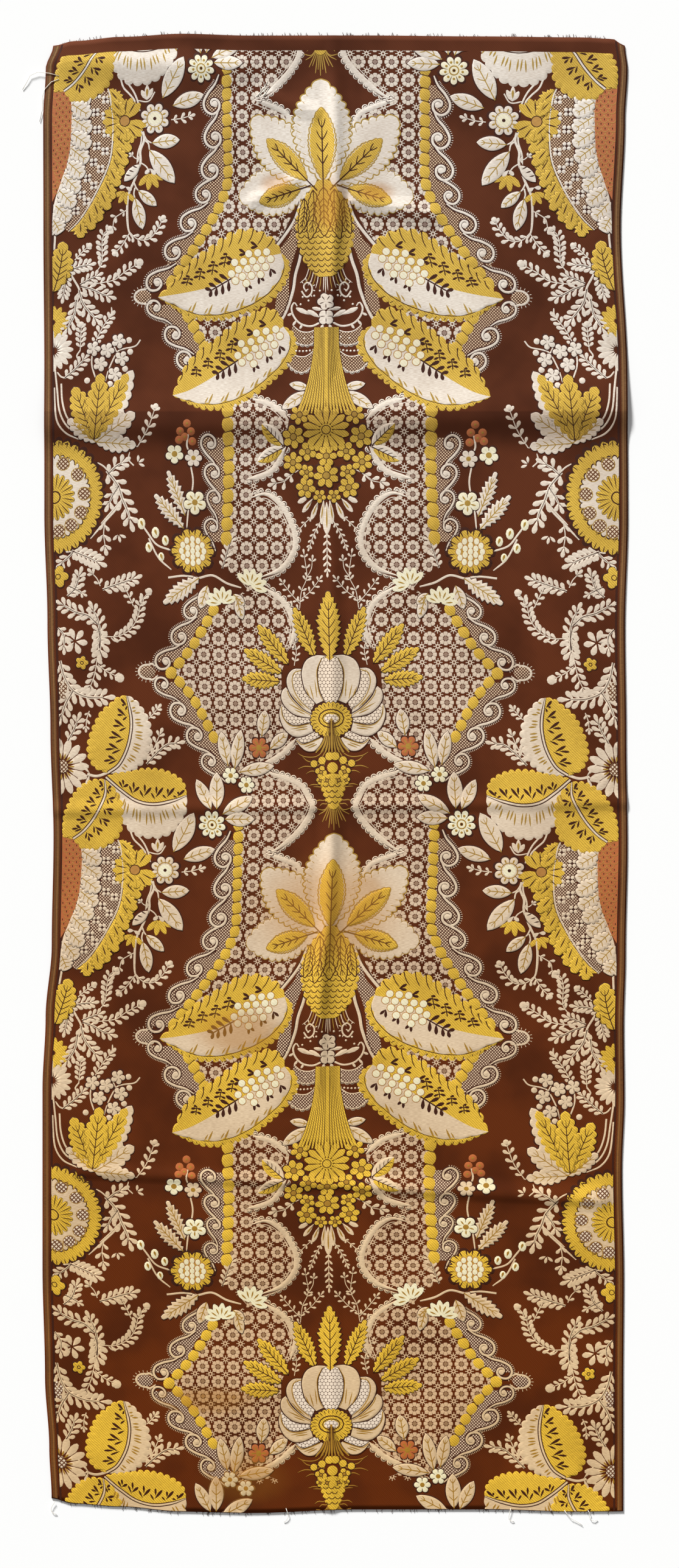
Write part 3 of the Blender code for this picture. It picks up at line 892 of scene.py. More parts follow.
def bouquet():
    """A daisy, small flowers in pairs, leaves at their sides, and drooping buds and ferns below."""
    daisy(BLOSSOMS, MARKS, (0, 581), 38, 14, 13, 10, both=False, lift=0.42)
    petals_around(MARKS, (0, 581), 13, 34, 14, 1.8, 180 / 14, 0.5, both=False)
    for number, (u, v, radius, petals) in enumerate(BOUQUET):
        gold_flower((u, v), radius, petals, turn=0.3 + 0.4 * number, lift=0.34 + 0.015 * number)
    gold_flower((0, 624), 20, 6, both=False, lift=0.45)
    gold_flower((0, 656), 24, 7, both=False, turn=0.6, lift=0.43)
    gold_flower((12, 690), 13, 5, lift=0.4)
    for base, tip, half in [((74, 607), (112, 570), 13), ((74, 609), (120, 632), 12)]:
        half_leaf(LEAF, base, tip, half, 0, 0.3)
        half_leaf(GOLD, base, tip, half, 1, 0.31)
        veins(MARKS, base, tip, half, 4, 1.4, 0.44)
    thread(FOLIAGE, [(36, 640), (54, 650), (72, 662)], 2.0)
    fern(FOLIAGE, [(58, 652), (72, 664), (88, 668)], 3, 15, 8)
    clubs(LEAF, [(5, 696), (14, 698), (24, 694), (30, 690)], [(9, 736), (27, 728), (42, 716), (50, 700)], 10,
          0.34)
    clubs(GOLD_THREAD, [(6, 702), (17, 703), (27, 698)], [(9, 726), (24, 720), (36, 710)], 2.4, 0.44)
    clubs(LEAF, [(0, 700)], [(0, 752)], 15, 0.36, False)
    clubs(GOLD_THREAD, [(0, 706)], [(0, 742)], 2.6, 0.46, False)
    fern(FOLIAGE, [(0, 744), (0, 780), (0, 812)], 6, 12, 4.4, spread=34, both=False, taper=0.6)
    fern(FOLIAGE, [(10, 730), (22, 752), (30, 772)], 5, 9, 4.0, spread=36)
    fern(FOLIAGE, [(24, 722), (40, 736), (54, 752)], 4, 8, 3.8, spread=40)


def loose_sprigs():
    """Two thin cream sprigs of leaflets, above the gold leaves."""
    for points, pairs in (([(50, 874), (46, 846), (36, 822), (40, 786)], 5),
                          ([(50, 866), (64, 850), (78, 832)], 4),
                          ([(46, 858), (30, 846), (15, 828)], 4), ([(38, 826), (28, 810), (26, 796)], 2),
                          ([(50, 876), (60, 872), (74, 866)], 3)):
        fern(FOLIAGE, points, pairs, 10, 4.4, spread=52, stem=1.5)


# The pomegranate on the centre line


def crown_of_leaves():
    """Saw-edged gold leaves that stand up from the pomegranate."""
    gold_leaf((72, 966), (124, 900), 14, lobes=9, depth=6)
    gold_leaf((84, 980), (149, 940), 14, lobes=9, depth=6)
    gold_leaf((88, 994), (154, 988), 14, lobes=9, depth=6)
    gold_leaf((26, 954), (60, 872), 14, lobes=10, depth=7, lift=0.4)
    gold_leaf((0, 962), (0, 846), 19, lobes=12, depth=8, both=False, lift=0.44)
    fern(FOLIAGE, [(62, 968), (58, 940), (70, 912)], 6, 10, 4.4, stem=1.5)


SEGMENTS = [
    ("mesh_net", 0.44, [(50, 975), (50, 990), (44, 1010), (28, 1030)],
     [(58, 974), (66, 990), (62, 1011), (52, 1027), (34, 1042)]),
    ("mesh_net", 0.40, [(86, 1030), (66, 1049), (50, 1054), (36, 1055)],
     [(86, 1040), (82, 1055), (70, 1065), (56, 1066), (36, 1062)]),
    ("mesh_net", 0.36, [(62, 1086), (50, 1086), (38, 1080), (26, 1076)],
     [(60, 1090), (50, 1096), (38, 1094), (20, 1086)]),
    (LEAF, 0.52, [(12, 955), (21, 974), (21, 994), (18, 1013), (12, 1026)],
     [(4, 953), (24, 951), (42, 959), (50, 977), (49, 994), (43, 1012), (26, 1032)]),
    (LEAF, 0.48, [(49, 975), (61, 979), (65, 992), (61, 1010), (51, 1026), (36, 1040)],
     [(49, 973), (63, 973), (73, 981), (77, 994), (73, 1010), (63, 1025), (48, 1040), (34, 1048)]),
    (LEAF, 0.46, [(74, 1008), (70, 1018), (60, 1030), (46, 1042), (34, 1049)],
     [(78, 1003), (85, 1009), (87, 1022), (80, 1036), (66, 1048), (50, 1053), (34, 1055)]),
    (LEAF, 0.42, [(85, 1034), (83, 1050), (72, 1064), (57, 1067), (36, 1063)],
     [(87, 1032), (91, 1045), (88, 1061), (80, 1075), (66, 1085), (50, 1085), (32, 1078)]),
    (LEAF, 0.38, [(60, 1090), (50, 1097), (36, 1094), (18, 1087)],
     [(64, 1090), (55, 1102), (43, 1110), (28, 1109), (17, 1099), (14, 1090)]),
]


# Strokes on the segments, from foot to tip.
SEGMENT_STROKES = [((30, 1024), (36, 1000)), ((24, 1020), (27, 992)), ((36, 1022), (44, 1004)),
                   ((46, 1038), (62, 1022)),
                   ((52, 1034), (68, 1014)), ((46, 1048), (64, 1040)), ((48, 1044), (74, 1030)),
                   ((42, 1072), (62, 1074)),
                   ((42, 1068), (70, 1072)), ((26, 1098), (42, 1104)), ((30, 1096), (48, 1102))]


def pomegranate():
    """Segments of plain cream and of net in turn round a gold heart, edged with gold and brown threads."""
    net = [(0, 955), (14, 957), (21, 974), (22, 994), (18, 1013), (10, 1030), (0, 1032)]
    panel("mesh_net", [(0, 955), (0, 990), (0, 1032)], net, 0.46)
    thread(MARKS, net[1:-1], 1.8, 0.62)
    for finish, lift, inner, outer in SEGMENTS:
        panel(finish, inner, outer, lift)
        thread(MARKS, outer, 1.6, lift + 0.08, start=0.6)
        if finish == LEAF:
            thread(GOLD_THREAD, np.array(inner) + (1.5, 1.0), 1.6, lift + 0.09)
    clubs(GOLD_THREAD, [a for a, b in SEGMENT_STROKES], [b for a, b in SEGMENT_STROKES], 2.0, 0.64, belly=0.8)
    blossom(GOLD, (0, 1058), 40, 26, 0.1, lift=0.6, both=False, stretch=(1.0, 0.84))
    petals_around(MARKS, (0, 1058), 24, 33, 26, 1.3, 6, 0.7, False, stretch=(1.0, 0.85))
    hoop(MARKS, (0, 1056), 21, 2.0, 0.7, False, (1.0, 0.72))
    hoop(MARKS, (0, 1056), 14.5, 1.6, 0.7, False, (1.0, 0.66))
    dots("mesh_net", [(0, 1056)], 13, 0.68, 16, False, (1.0, 0.62))


def tassel():
    """A trunk of strands, balls and small flowers under the pomegranate, whiskers and a long brush."""
    for u in (0, 4, 8, 13, 19):
        thread(GOLD_THREAD, [(0.3 * u, 1056), (0.45 * u, 1078), (0.9 * u, 1098), (1.5 * u, 1112)], 3.4,
               0.74 - 0.01 * u, both=u > 0)
        thread(MARKS, [(0.3 * u + 1.6, 1060), (0.45 * u + 2, 1078), (0.9 * u + 2.4, 1098),
                       (1.5 * u + 3, 1110)],
               1.0, 0.8 - 0.01 * u)
    dots(MARKS, [(5, 1118), (18, 1125), (32, 1130), (0, 1137)], 8.4, 0.4, 12)
    dots(GOLD, [(5, 1118), (18, 1125), (32, 1130)], [7, 6.4, 6], 0.5, 12)
    dots(GOLD, [(0, 1137)], 9, 0.56, 14, False)
    for u, v, radius in ((20, 1144, 12), (10, 1158, 11), (22, 1158, 8)):
        gold_flower((u, v), radius, 4, turn=0.5, lift=0.42)
    cone = [(18, 1150), (20, 1166), (14, 1186), (6, 1204)]
    panel(GOLD, [(0, 1146), (0, 1166), (0, 1186), (0, 1206)], cone, 0.44, lobes=6, depth=4)
    for row, v in enumerate(np.arange(1164, 1200, 9)):
        for u in np.arange(-12 + (row % 2) * 5, 14 - row, 10.0):
            scale_edge(MARKS, u, v, 4.6, 5, 80, 1.4, 0.55, False, 1.0, count=5)
    for root, reach, foot, tip in ((1104, 60, 14, 1112), (1108, 52, 18, 1118), (1118, 60, 16, 1138),
                                   (1122, 46, 20, 1146),
                                   (1150, 42, 14, 1166), (1156, 34, 12, 1168), (1178, 32, 12, 1194),
                                   (1184, 24, 12, 1200)):
        thread(GOLD_THREAD, [(10, root), (0.45 * reach, root + foot), (0.8 * reach, root + foot),
                             (reach, tip)], 1.8, 0.3,
               end=0.3)
    for u, low in ((0, 1240), (4, 1230), (9, 1236), (14, 1224), (20, 1226), (26, 1214), (30, 1204)):
        thread(GOLD_THREAD, [(0.15 * u, 1190), (0.5 * u, 1206), (u, low)], 1.9, 0.3, both=u > 0)


# The two leaf fruits on each side: the edges of their halves, their beads, and their marks

LEAF_FRUITS = [{
    "upper": [(76, 290), (88, 268), (110, 256), (132, 251), (160, 256), (200, 282), (232, 306), (258, 332),
              (292, 364)],
    "divide": [(76, 290), (104, 296), (132, 308), (160, 326), (190, 343), (222, 352), (256, 359), (292, 364)],
    "lower": [(76, 290), (63, 304), (64, 328), (78, 352), (108, 375), (156, 393), (200, 401), (240, 396),
              (292, 364)],
    "beads": [(98, 293), (160, 329)],
}, {
    "upper": [(74, 410), (80, 392), (97, 381), (120, 385), (155, 403), (190, 431), (220, 453), (243, 475),
              (267, 526)],
    "divide": [(74, 410), (92, 421), (120, 443), (148, 463), (180, 483), (210, 502), (240, 518), (267, 526)],
    "lower": [(74, 410), (56, 422), (51, 446), (64, 472), (97, 503), (136, 530), (179, 546), (220, 546),
              (267, 526)],
    "beads": [(84, 420), (150, 463)],
}]


BEAD_ROWS, BEAD_PITCH, BEAD_RADIUS = (2, 3, 4, 3, 4, 2), 13.2, 6.1


def leaf_fruit(form):
    """A gold lobed half and a cream half with a gold fringe, a cluster of beads, and brown marks on both."""
    upper, divide, lower = (np.array(form[key], float) for key in ("upper", "divide", "lower"))
    panel(GOLD, divide, upper, 0.44, lobes=14, depth=7)
    panel(GOLD, divide, lower, 0.32, lobes=24, depth=5)
    near, far = even(smooth_path(divide), 9)[0], even(smooth_path(lower), 9)[0]
    inset = near + (far - near) * np.array([1, 0.78, 0.82, 0.84, 0.85, 0.84, 0.8, 0.74, 1])[:, None]
    panel(LEAF, divide, inset, 0.42, lobes=9, depth=4)
    inset_rows = even(smooth_path(inset), 120)[0]
    put(MARKS, ribbon(even(inset_rows[4:-4], 60)[0], 1.5, 0.41))
    first, last = np.array(form["beads"], float)
    length = np.hypot(*(last - first))
    way = (last - first) / length
    sideways = np.array([-way[1], way[0]])
    rows = np.array([(k / (len(BEAD_ROWS) - 1), across - 0.5 * (count - 1))
                     for k, count in enumerate(BEAD_ROWS) for across in range(count)])
    beads = first + way * (rows[:, :1] * length) + sideways * (rows[:, 1:] * BEAD_PITCH)
    dots("tan_marks", beads, BEAD_RADIUS + 1.2, 0.56, 12)
    dots(IVORY, beads, BEAD_RADIUS, BEAD_LIFT, 12)
    sprig = last + way * np.array([[10], [22], [34], [44]])
    for side in (-1, 1):
        clubs(MARKS, sprig, sprig + way * 9 + sideways * side * np.array([[16], [15], [12], [8]]), 6.5, 0.58)
    put(MARKS, ribbon(np.array([last + way * 4, last + way * 50]), 2.2, 0.58, end=0.4))
    for at in (0.12, 0.45, 0.8):
        root = first + way * length * at - sideways * 22
        clubs(MARKS, [root, root], [root - sideways * 13 + way * 7, root - sideways * 4 + way * 12], 5, 0.58)
        root = first + way * length * at + sideways * 20
        clubs(MARKS, [root, root], [root + sideways * 12 - way * 4, root + sideways * 12 + way * 7], 5, 0.58)
    tops = even(smooth_path(upper), 60)[0]
    roots = even(smooth_path(divide), 60)[0]
    for at in range(6, 54, 4):
        span = tops[at] - roots[at]
        thread(MARKS, [tops[at] + 0.04 * span, tops[at] - 0.14 * span + (3, 3),
                       tops[at] - 0.26 * span + (9, 7)],
               1.6, 0.56, start=1.5, end=0.4)
    for at in (26, 32, 38, 44):
        span = tops[at] - roots[at]
        shift = np.array([[6, 2], [3, 1], [0, 0], [-3, 0]])
        stem = roots[at] + span * np.array([[0.3], [0.42], [0.54], [0.62]]) + shift
        thread(MARKS, stem, 1.8, 0.57, end=0.6)
        clubs(MARKS, stem[1:], stem[1:] - 0.1 * span + np.array([(12, -2), (11, -3), (8, -5)]), 4.4, 0.58)
        clubs(MARKS, stem[1:3], stem[1:3] + np.array([(-9, 4), (-8, 2)]), 3.8, 0.58)
    rims = inset_rows[[44, 56, 68, 80, 92]]
    clubs(GOLD_THREAD, rims, rims + (-8, -18), 3.4, 0.55, belly=0.8)
    clubs(GOLD_THREAD, rims + (6, -2), rims + (0, -12), 2.4, 0.55, belly=0.8)
    marks = even(smooth_path(lower), 60)[0]
    inward = even(smooth_path(inset), 60)[0] - marks
    at = np.arange(8, 54, 3)
    clubs(MARKS, marks[at] + 0.1 * inward[at], marks[at] + 0.62 * inward[at], 1.4, 0.45, belly=0.8)


def leaf_fruits():
    """The upper and the lower leaf fruit."""
    for form in LEAF_FRUITS:
        leaf_fruit(form)


# The flowers, leaves and fronds of the side borders, listed on the draft as (u, v)

CREAM_LEAVES = [
    (280, 37, 244, -31, 17), (262, 50, 207, 30, 14), (204, 1204, 202, 1143, 14), (214, 1205, 238, 1156, 12),
    (194, 1212, 140, 1182, 13), (171, 1137, 158, 1072, 12), (182, 1132, 193, 1076, 12),
                (162, 1142, 101, 1132, 12),
    (122, 1083, 115, 1040, 12), (108, 1104, 76, 1078, 11), (190, 1220, 138, 1219, 13),
                (299, 110, 250, 106, 13),
    (304, 121, 260, 178, 16), (324, 187, 292, 214, 10), (330, 199, 317, 252, 12),
    (210, 837, 224, 876, 11), (165, 850, 146, 868, 8),
    (160, 856, 150, 892, 9),
]
# Fronds: the stem's points, the pairs of leaflets, their length, and the size of a round end.
FRONDS = [
    ([(341, 254), (326, 267), (307, 268), (292, 254), (283, 238)], 7, 13, 5),
    ([(344, 218), (355, 224), (366, 232), (369, 246)], 3, 10, 0),
    ([(340, 256), (352, 275), (363, 286)], 4, 12, 5),
    ([(402, 338), (388, 337), (367, 333), (350, 321), (329, 309)], 7, 14, 7),
    ([(398, 318), (389, 305), (388, 287), (388, 270), (384, 256), (378, 251)], 8, 13, 5),
    ([(436, 296), (423, 284), (414, 277)], 4, 10, 5),
    ([(405, 443), (399, 430), (388, 410), (376, 395)], 6, 13, 0),
    ([(428, 446), (427, 429), (426, 408)], 5, 12, 5),
    ([(328, 609), (310, 580), (298, 548)], 5, 13, 5),
    ([(385, 732), (388, 752), (386, 772)], 3, 15, 0), ([(397, 838), (402, 826), (409, 818)], 2, 12, 0),
    ([(340, 872), (349, 852), (356, 838)], 4, 11, 0), ([(324, 872), (322, 860), (316, 852)], 3, 10, 6),
    ([(387, 922), (369, 922), (351, 914), (340, 903), (332, 888), (328, 868)], 9, 14, 0),
    ([(404, 950), (407, 968), (412, 988), (419, 1004)], 5, 15, 0),
    ([(404, 968), (390, 979), (374, 987)], 4, 11, 8),
    ([(422, 1044), (427, 1058), (428, 1070)], 3, 9, 0), ([(318, 1057), (311, 1050), (304, 1042)], 3, 11, 0),
    ([(182, 878), (166, 868), (150, 872)], 3, 8, 0), ([(265, 73), (248, 71), (234, 67)], 3, 11, 0),
    ([(319, 135), (328, 134), (334, 129)], 2, 8, 0), ([(330, 1120), (314, 1112), (300, 1084)], 4, 12, 0),
]
# Combs: the rib's points, the pairs of lobes, and their length.
COMBS = [
    ([(449, 314), (430, 308), (414, 306)], 5, 14), ([(427, 337), (413, 331), (400, 326)], 4, 13),
    ([(450, 318), (453, 337), (456, 352)], 5, 14), ([(426, 340), (408, 346), (391, 355), (380, 359)], 5, 15),
    ([(429, 346), (423, 367), (412, 383), (402, 394)], 5, 17),
         ([(434, 362), (437, 384), (443, 397), (449, 407)], 5, 16),
    ([(455, 491), (436, 476), (422, 462)], 5, 14), ([(382, 648), (363, 672), (355, 694), (346, 714),
                                                     (342, 728)], 6, 20),
    ([(380, 654), (367, 642), (357, 636)], 3, 17), ([(361, 673), (371, 688), (377, 700)], 3, 16),
    ([(444, 778), (420, 788), (402, 797)], 6, 18), ([(440, 778), (450, 788), (460, 796)], 3, 15),
    ([(393, 844), (374, 838), (352, 831), (340, 827)], 6, 16), ([(455, 853), (441, 840), (433, 820)], 5, 15),
    ([(401, 940), (399, 918), (402, 896), (410, 878)], 6, 16),
         ([(404, 900), (420, 886), (440, 880), (462, 868)], 6, 17),
    ([(402, 908), (399, 926), (400, 944)], 4, 20), ([(470, 960), (463, 988), (449, 1010), (424, 1021),
                                                     (398, 1022)], 9, 20),
    ([(449, 1010), (462, 1030), (470, 1050)], 4, 19), ([(460, 1093), (450, 1076), (444, 1062)], 4, 16),
    ([(324, 1132), (306, 1114), (288, 1100), (272, 1097)], 6, 15),
         ([(472, 905), (462, 918), (462, 935)], 4, 14),
    ([(183, 808), (174, 782), (166, 760)], 6, 12), ([(452, 836), (440, 842), (430, 848)], 3, 10),
]
# Fans: centre u, v, radius, leaflets, turn in degrees, finish.
FANS = [
    (303, 159, 28, 4, 190, GOLD), (346, 187, 23, 4, 165, GOLD),
    (328, 636, 13, 3, -60, FOLIAGE), (362, 753, 14, 3, 190, FOLIAGE),
]
BORDER_STEMS = [
    (3.4, [(356, 1), (350, 16), (338, 28), (329, 40), (330, 53), (336, 63)]),
                (3.4, [(344, 8), (332, 23), (324, 40), (320, 56)]),
    (2.6, [(294, 26), (305, 41), (326, 38)]),
    (4.6, [(315, 90), (313, 104), (320, 122), (320, 141), (330, 168), (341, 192), (344, 218), (342, 250),
           (334, 266)]),
    (3.0, [(318, 88), (318, 106), (324, 124), (326, 142)]),
    (3.0, [(312, 98), (308, 105), (300, 110)]), (3.0, [(314, 104), (306, 110), (304, 121)]),
    (2.6, [(320, 141), (310, 148), (304, 158)]), (3.0, [(332, 172), (328, 182), (324, 187)]),
    (3.0, [(330, 182), (332, 192), (330, 199)]), (4.0, [(449, 310), (438, 328), (428, 348), (433, 366)]),
    (3.4, [(472, 473), (468, 510), (464, 545), (452, 570), (430, 586), (405, 597)]),
    (3.4, [(473, 505), (472, 532), (468, 562), (454, 582), (430, 594)]),
    (3.4, [(461, 500), (459, 530), (451, 556), (435, 574), (412, 592)]),
    (3.0, [(455, 491), (462, 488), (468, 480)]), (4.0, [(472, 200), (470, 250), (474, 300)]),
    (3.0, [(378, 396), (373, 388), (373, 378)]), (3.0, [(405, 443), (408, 470), (400, 498)]),
    (3.0, [(428, 446), (434, 455), (430, 462)]), (2.8, [(323, 433), (332, 443), (352, 447), (364, 453),
                                                        (378, 480), (384, 500)]),
    (2.6, [(364, 453), (372, 440), (384, 444)]), (3.6, [(355, 694), (366, 712), (386, 733), (411, 759)]),
    (3.0, [(360, 700), (372, 714), (392, 735)]), (3.0, [(380, 648), (388, 640), (398, 634)]),
    (2.6, [(335, 640), (344, 630), (342, 618)]), (3.6, [(272, 780), (296, 771), (311, 752), (323, 735)]),
    (3.4, [(310, 760), (294, 792), (272, 812)]), (4.2, [(224, 825), (200, 820), (176, 832), (151, 839)]),
    (3.8, [(278, 825), (250, 822), (224, 825)]), (5.0, [(428, 1149), (410, 1152), (386, 1144)]),
    (3.4, [(395, 1160), (378, 1153), (360, 1150)]), (3.4, [(150, 1150), (168, 1150), (188, 1132)]),
    (3.4, [(112, 1110), (130, 1130), (151, 1155)]), (3.0, [(387, 922), (396, 922), (402, 916)]),
    (3.4, [(404, 950), (400, 930), (400, 905)]), (3.0, [(360, 926), (372, 930), (380, 924)]),
    (3.4, [(240, 590), (242, 610), (232, 626)]), (3.2, [(236, 640), (232, 670), (240, 712), (244, 750)]),
    (3.0, [(405, 597), (372, 604), (328, 609)]),
]
CLOVERS = [(361, 434), (381, 449), (356, 463), (393, 471), (368, 489), (405, 445)]
BUDS = [(343, 433), (341, 452), (416, 497), (350, 480), (376, 505)]
BERRIES = [(242, 572), (235, 585), (254, 585), (233, 601), (256, 599), (246, 594)]
EDGE_BLOSSOMS = [(470, 820, 21), (432, 964, 13)]
BUD_SPRIG = [(281, 764, 9), (298, 751, 10), (310, 775, 9), (289, 791, 8), (322, 736, 10)]


def petalled(finish, centre, radius, petals, eye_finish, eye, lift=BODY_LIFT, notch=0.35, turn=0.0,
             dots_round=0):
    """A flower of rounded petals with brown lines between them, and an eye or a ring of dots."""
    blossom(finish, centre, radius, petals, notch, turn, lift)
    petals_around(MARKS, centre, 0.35 * radius, 0.74 * radius, petals, 1.3, np.degrees(turn), lift + 0.08)
    dots(eye_finish, [centre], eye, lift + 0.14, 12)
    if dots_round:
        angle = np.arange(dots_round) * 2 * np.pi / dots_round
        ring = np.array(centre) + 0.52 * radius * np.stack([np.sin(angle), np.cos(angle)], axis=1)
        dots(eye_finish, ring, 2.2, lift + 0.14, 8)


def comb(finish, path, pairs, size):
    """A leaf of long lobes that almost touch, on a rib that is thickest at its foot."""
    fern(finish, path, pairs, 1.12 * size, 0.52 * size, stem=0.3 * size, spread=44, start=0.06, taper=0.3,
         lift=0.3)
    thread(MARKS, path, 0.9, 0.42, start=1.6, end=0.4)


def leafy_band(finish, inner, outer, count, half, lobes, depth, vein=None, toothed=False):
    """A band of lobed leaflets, each from the inner curve to a point further on along the outer one."""
    near, far = even(smooth_path(inner), 60)[0], even(smooth_path(outer), 60)[0]
    panel(finish, inner, near[::4] + 0.6 * (far[::4] - near[::4]), 0.34, loose_inner=True)
    for number, at in enumerate(np.linspace(1, 54, count).astype(int)):
        lift = 0.38 + 0.09 * (number % 2)
        base, tip = near[at] + 0.1 * (far[at] - near[at]), far[min(at + 5, 59)]
        leaf(finish, base, tip, half, lift, lobes=lobes, depth=depth, full=0.6, toothed=toothed)
        if toothed:
            clubs(MARKS, [base], [base + 0.6 * (tip - base)], 2.2, lift + 0.1)
        if vein:
            veins(vein, base, tip, half, 3, 1.5, lift + 0.1)


def shell(centre, radius, turn):
    """A half-open ivory flower: broad petals that fan out from its foot, with gold strokes."""
    foot = np.array(centre) + (-0.4 * radius * np.sin(np.radians(turn)),
                               0.4 * radius * np.cos(np.radians(turn)))
    petals_around(MARKS, foot, 2, 1.42 * radius, 6, 0.66 * radius, turn, 0.3, arc=150)
    petals_around(IVORY, foot, 2, 1.36 * radius, 6, 0.56 * radius, turn, 0.44, arc=150)
    petals_around(GOLD_THREAD, foot, 0.4 * radius, 0.95 * radius, 6, 0.12 * radius, turn, 0.54, arc=150)


def foliage():
    """The stems, fronds, combs, fans and leaves in the borders, from their tables."""
    for width, points in BORDER_STEMS:
        thread(FOLIAGE, points, width, 0.26)
    for path, pairs, size, knob in FRONDS:
        fern(FOLIAGE, path, pairs, 1.1 * size, stem=2.0, spread=44, slim=0.54, knob=knob)
    for path, pairs, size in COMBS:
        comb(FOLIAGE, path, pairs, size)
    for u, v, radius, count, turn, finish in FANS:
        petals_around(finish, (u, v), 2, radius, count, 0.42 * radius, turn, 0.34, arc=110)
    for bu, bv, tu, tv, half in CREAM_LEAVES:
        veined(LEAF, (bu, bv), (tu, tv), half, GOLD_THREAD, 3, 0.36, width=1.7)
    for base, tip, half in (((246, 723), (276, 649), 11), ((249, 744), (299, 688), 12),
                            ((224, 825), (288, 868), 14)):
        veined(LEAF, base, tip, half, GOLD_THREAD, 5, 0.36, width=1.6, lobes=8, depth=8, toothed=True)


def border_flowers():
    """The round flowers outside the rope."""
    petalled(IVORY, (213, -12), 27, 9, GOLD_THREAD, 3, dots_round=9)
    hoop(GOLD_THREAD, (213, -12), 7.5, 2.0, 0.52)
    dots(MARKS, [(213, -12)], 2, 0.7)
    petalled(LEAF, (294, 70), 29, 8, IVORY, 11, notch=0.3)
    hoop(GOLD_THREAD, (294, 70), 14, 1.8, 0.5)
    petals_around(GOLD_THREAD, (294, 70), 14, 21, 8, 3, 22.5, 0.5)
    dots(MARKS, [(294, 70)], 3, 0.6)
    petalled(IVORY, (178, 1148), 16, 6, GOLD_THREAD, 4)
    petalled(IVORY, (151, 1163), 16, 6, GOLD_THREAD, 4)
    petalled("coral_figures", (127, 1102), 20, 6, GOLD_THREAD, 5)
    petals_around(GOLD_THREAD, (127, 1102), 4, 13, 6, 2.4, 30, 0.47)
    petals_around(GOLD, (347, 71), 6, 39, 12, 15, 105, 0.44, arc=300)
    petals_around(GOLD, (347, 71), 6, 36, 23, 7, 105, 0.43, arc=300)
    petals_around(MARKS, (347, 71), 14, 34, 11, 2.2, 105, 0.5, arc=275)
    dots("tan_marks", [(347, 71)], 9, 0.56, 12)
    hoop(MARKS, (347, 71), 9, 1.4, 0.66)
    petalled(LEAF, (231, 628), 17, 6, GOLD_THREAD, 4)
    petalled(IVORY, (264, 622), 18, 5, GOLD_THREAD, 5)
    petalled(IVORY, (229, 701), 23, 5, GOLD_THREAD, 5, lift=0.42)
    petals_around(GOLD_THREAD, (229, 701), 5, 14, 5, 2.6, 36, 0.54)
    dots("coral_figures", BERRIES, 7.2, 0.4, 12)
    dots(GOLD_THREAD, BERRIES, 2, 0.5, 8)
    blossom(GOLD, (234, 781), 42, 10, 0.2, lift=0.4)
    petals_around(MARKS, (234, 781), 25, 40, 20, 2.2, 9, 0.5)
    for reach, count in ((0.0, 1), (10.0, 6), (19.6, 12)):
        turn = np.arange(count) * 2 * np.pi / count
        places = np.array([234, 781]) + reach * np.stack([np.sin(turn), np.cos(turn)], axis=1)
        dots("tan_marks", places, 6.2, 0.56, 10, stretch=(0.9, 1.1))
        dots(IVORY, places, 5.0, 0.7, 10, stretch=(0.85, 1.1))
    shell((187, 858), 21, 10)
    shell((131, 829), 22, -30)
    for u, v, size in BUD_SPRIG:
        dots(IVORY, [(u, v)], size, 0.4, 10, stretch=(0.7, 1.0))
        clubs(GOLD_THREAD, [(u - 2, v + 4)], [(u + 1, v - 5)], 4, 0.5)


def side_crescent():
    """At the selvage: coral scales, a cream band, a net with small flowers and a gold band."""
    panel("coral_figures", [(475, 8), (475, 60), (475, 120), (475, 195)],
          [(434, 8), (434, 60), (438, 107), (444, 140), (458, 168), (475, 195)], 0.2)
    for number, v in enumerate(np.arange(12, 190, 7.5)):
        first = np.interp(v, [8, 60, 107, 140, 168, 192], [438, 438, 442, 450, 463, 475])
        for u in np.arange(first + (number % 2) * 6, 474, 12):
            scale_edge("tan_marks", u, v, 6, 6, 95, 1.1, 0.42, ends=1.0)
            put(MARKS, ribbon(np.array([[u, v - 1.5], [u, v + 1.5]]), 1.3, 0.43))
    outer = [(410, 14), (408, 46), (406, 76), (407, 107), (412, 137), (422, 166), (432, 198), (443, 228),
             (460, 250)]
    inner = [(446, 14), (441, 46), (442, 76), (444, 107), (450, 137), (461, 166), (470, 192), (475, 215),
             (475, 246)]
    leafy_band(LEAF, inner, outer, 10, 15, 5, 4.5, GOLD_THREAD)
    lace = [(387, 20), (390, 50), (388, 76), (388, 104), (393, 134), (406, 166), (419, 196), (432, 222),
            (450, 246)]
    path = smooth_path(lace)
    put("check_net", ribbon(path, 38, NET_LIFT, start=0.9, end=0.3, flat=0.95))
    places, way, side = even(path, 18)
    reach = np.interp(np.arange(18), [0, 10, 17], [8, 8, 3])
    for shift, turn_at in ((-1, 0.0), (1, 0.5)):
        at = (places + way * turn_at * 13 + side * (shift * reach)[:, None])[(0 if shift > 0 else 1):15:2]
        dots(MARKS, at, 10, 0.13, 8)
        for turn in (0, 90, 180, 270):
            dots(LACE, at + turned(np.array([3.6, 3.6]), turn), 4.1, 0.26, 8)
    gold_outer = [(362, 16), (354, 37), (346, 70), (337, 109), (339, 133), (349, 156), (365, 195),
                  (376, 218), (391, 236),
                  (408, 251), (425, 260)]
    gold_inner = [(376, 18), (371, 32), (366, 70), (367, 109), (373, 141), (388, 174), (411, 212),
                  (428, 234), (444, 248)]
    leafy_band(GOLD, gold_inner, gold_outer, 13, 12, 4, 7, toothed=True)
    thread(LACE, np.array(gold_inner) + (2, -1), 2.4, 0.46)
    leaf(GOLD, (474, 346), (456, 264), 21, 0.36, lobes=7, depth=6, bend=4)
    veins(MARKS, (474, 346), (456, 264), 21, 5, 1.6, 0.5, bend=4)
    petals_around(GOLD, (475, 396), 4, 27, 7, 12, -90, 0.34, arc=170)


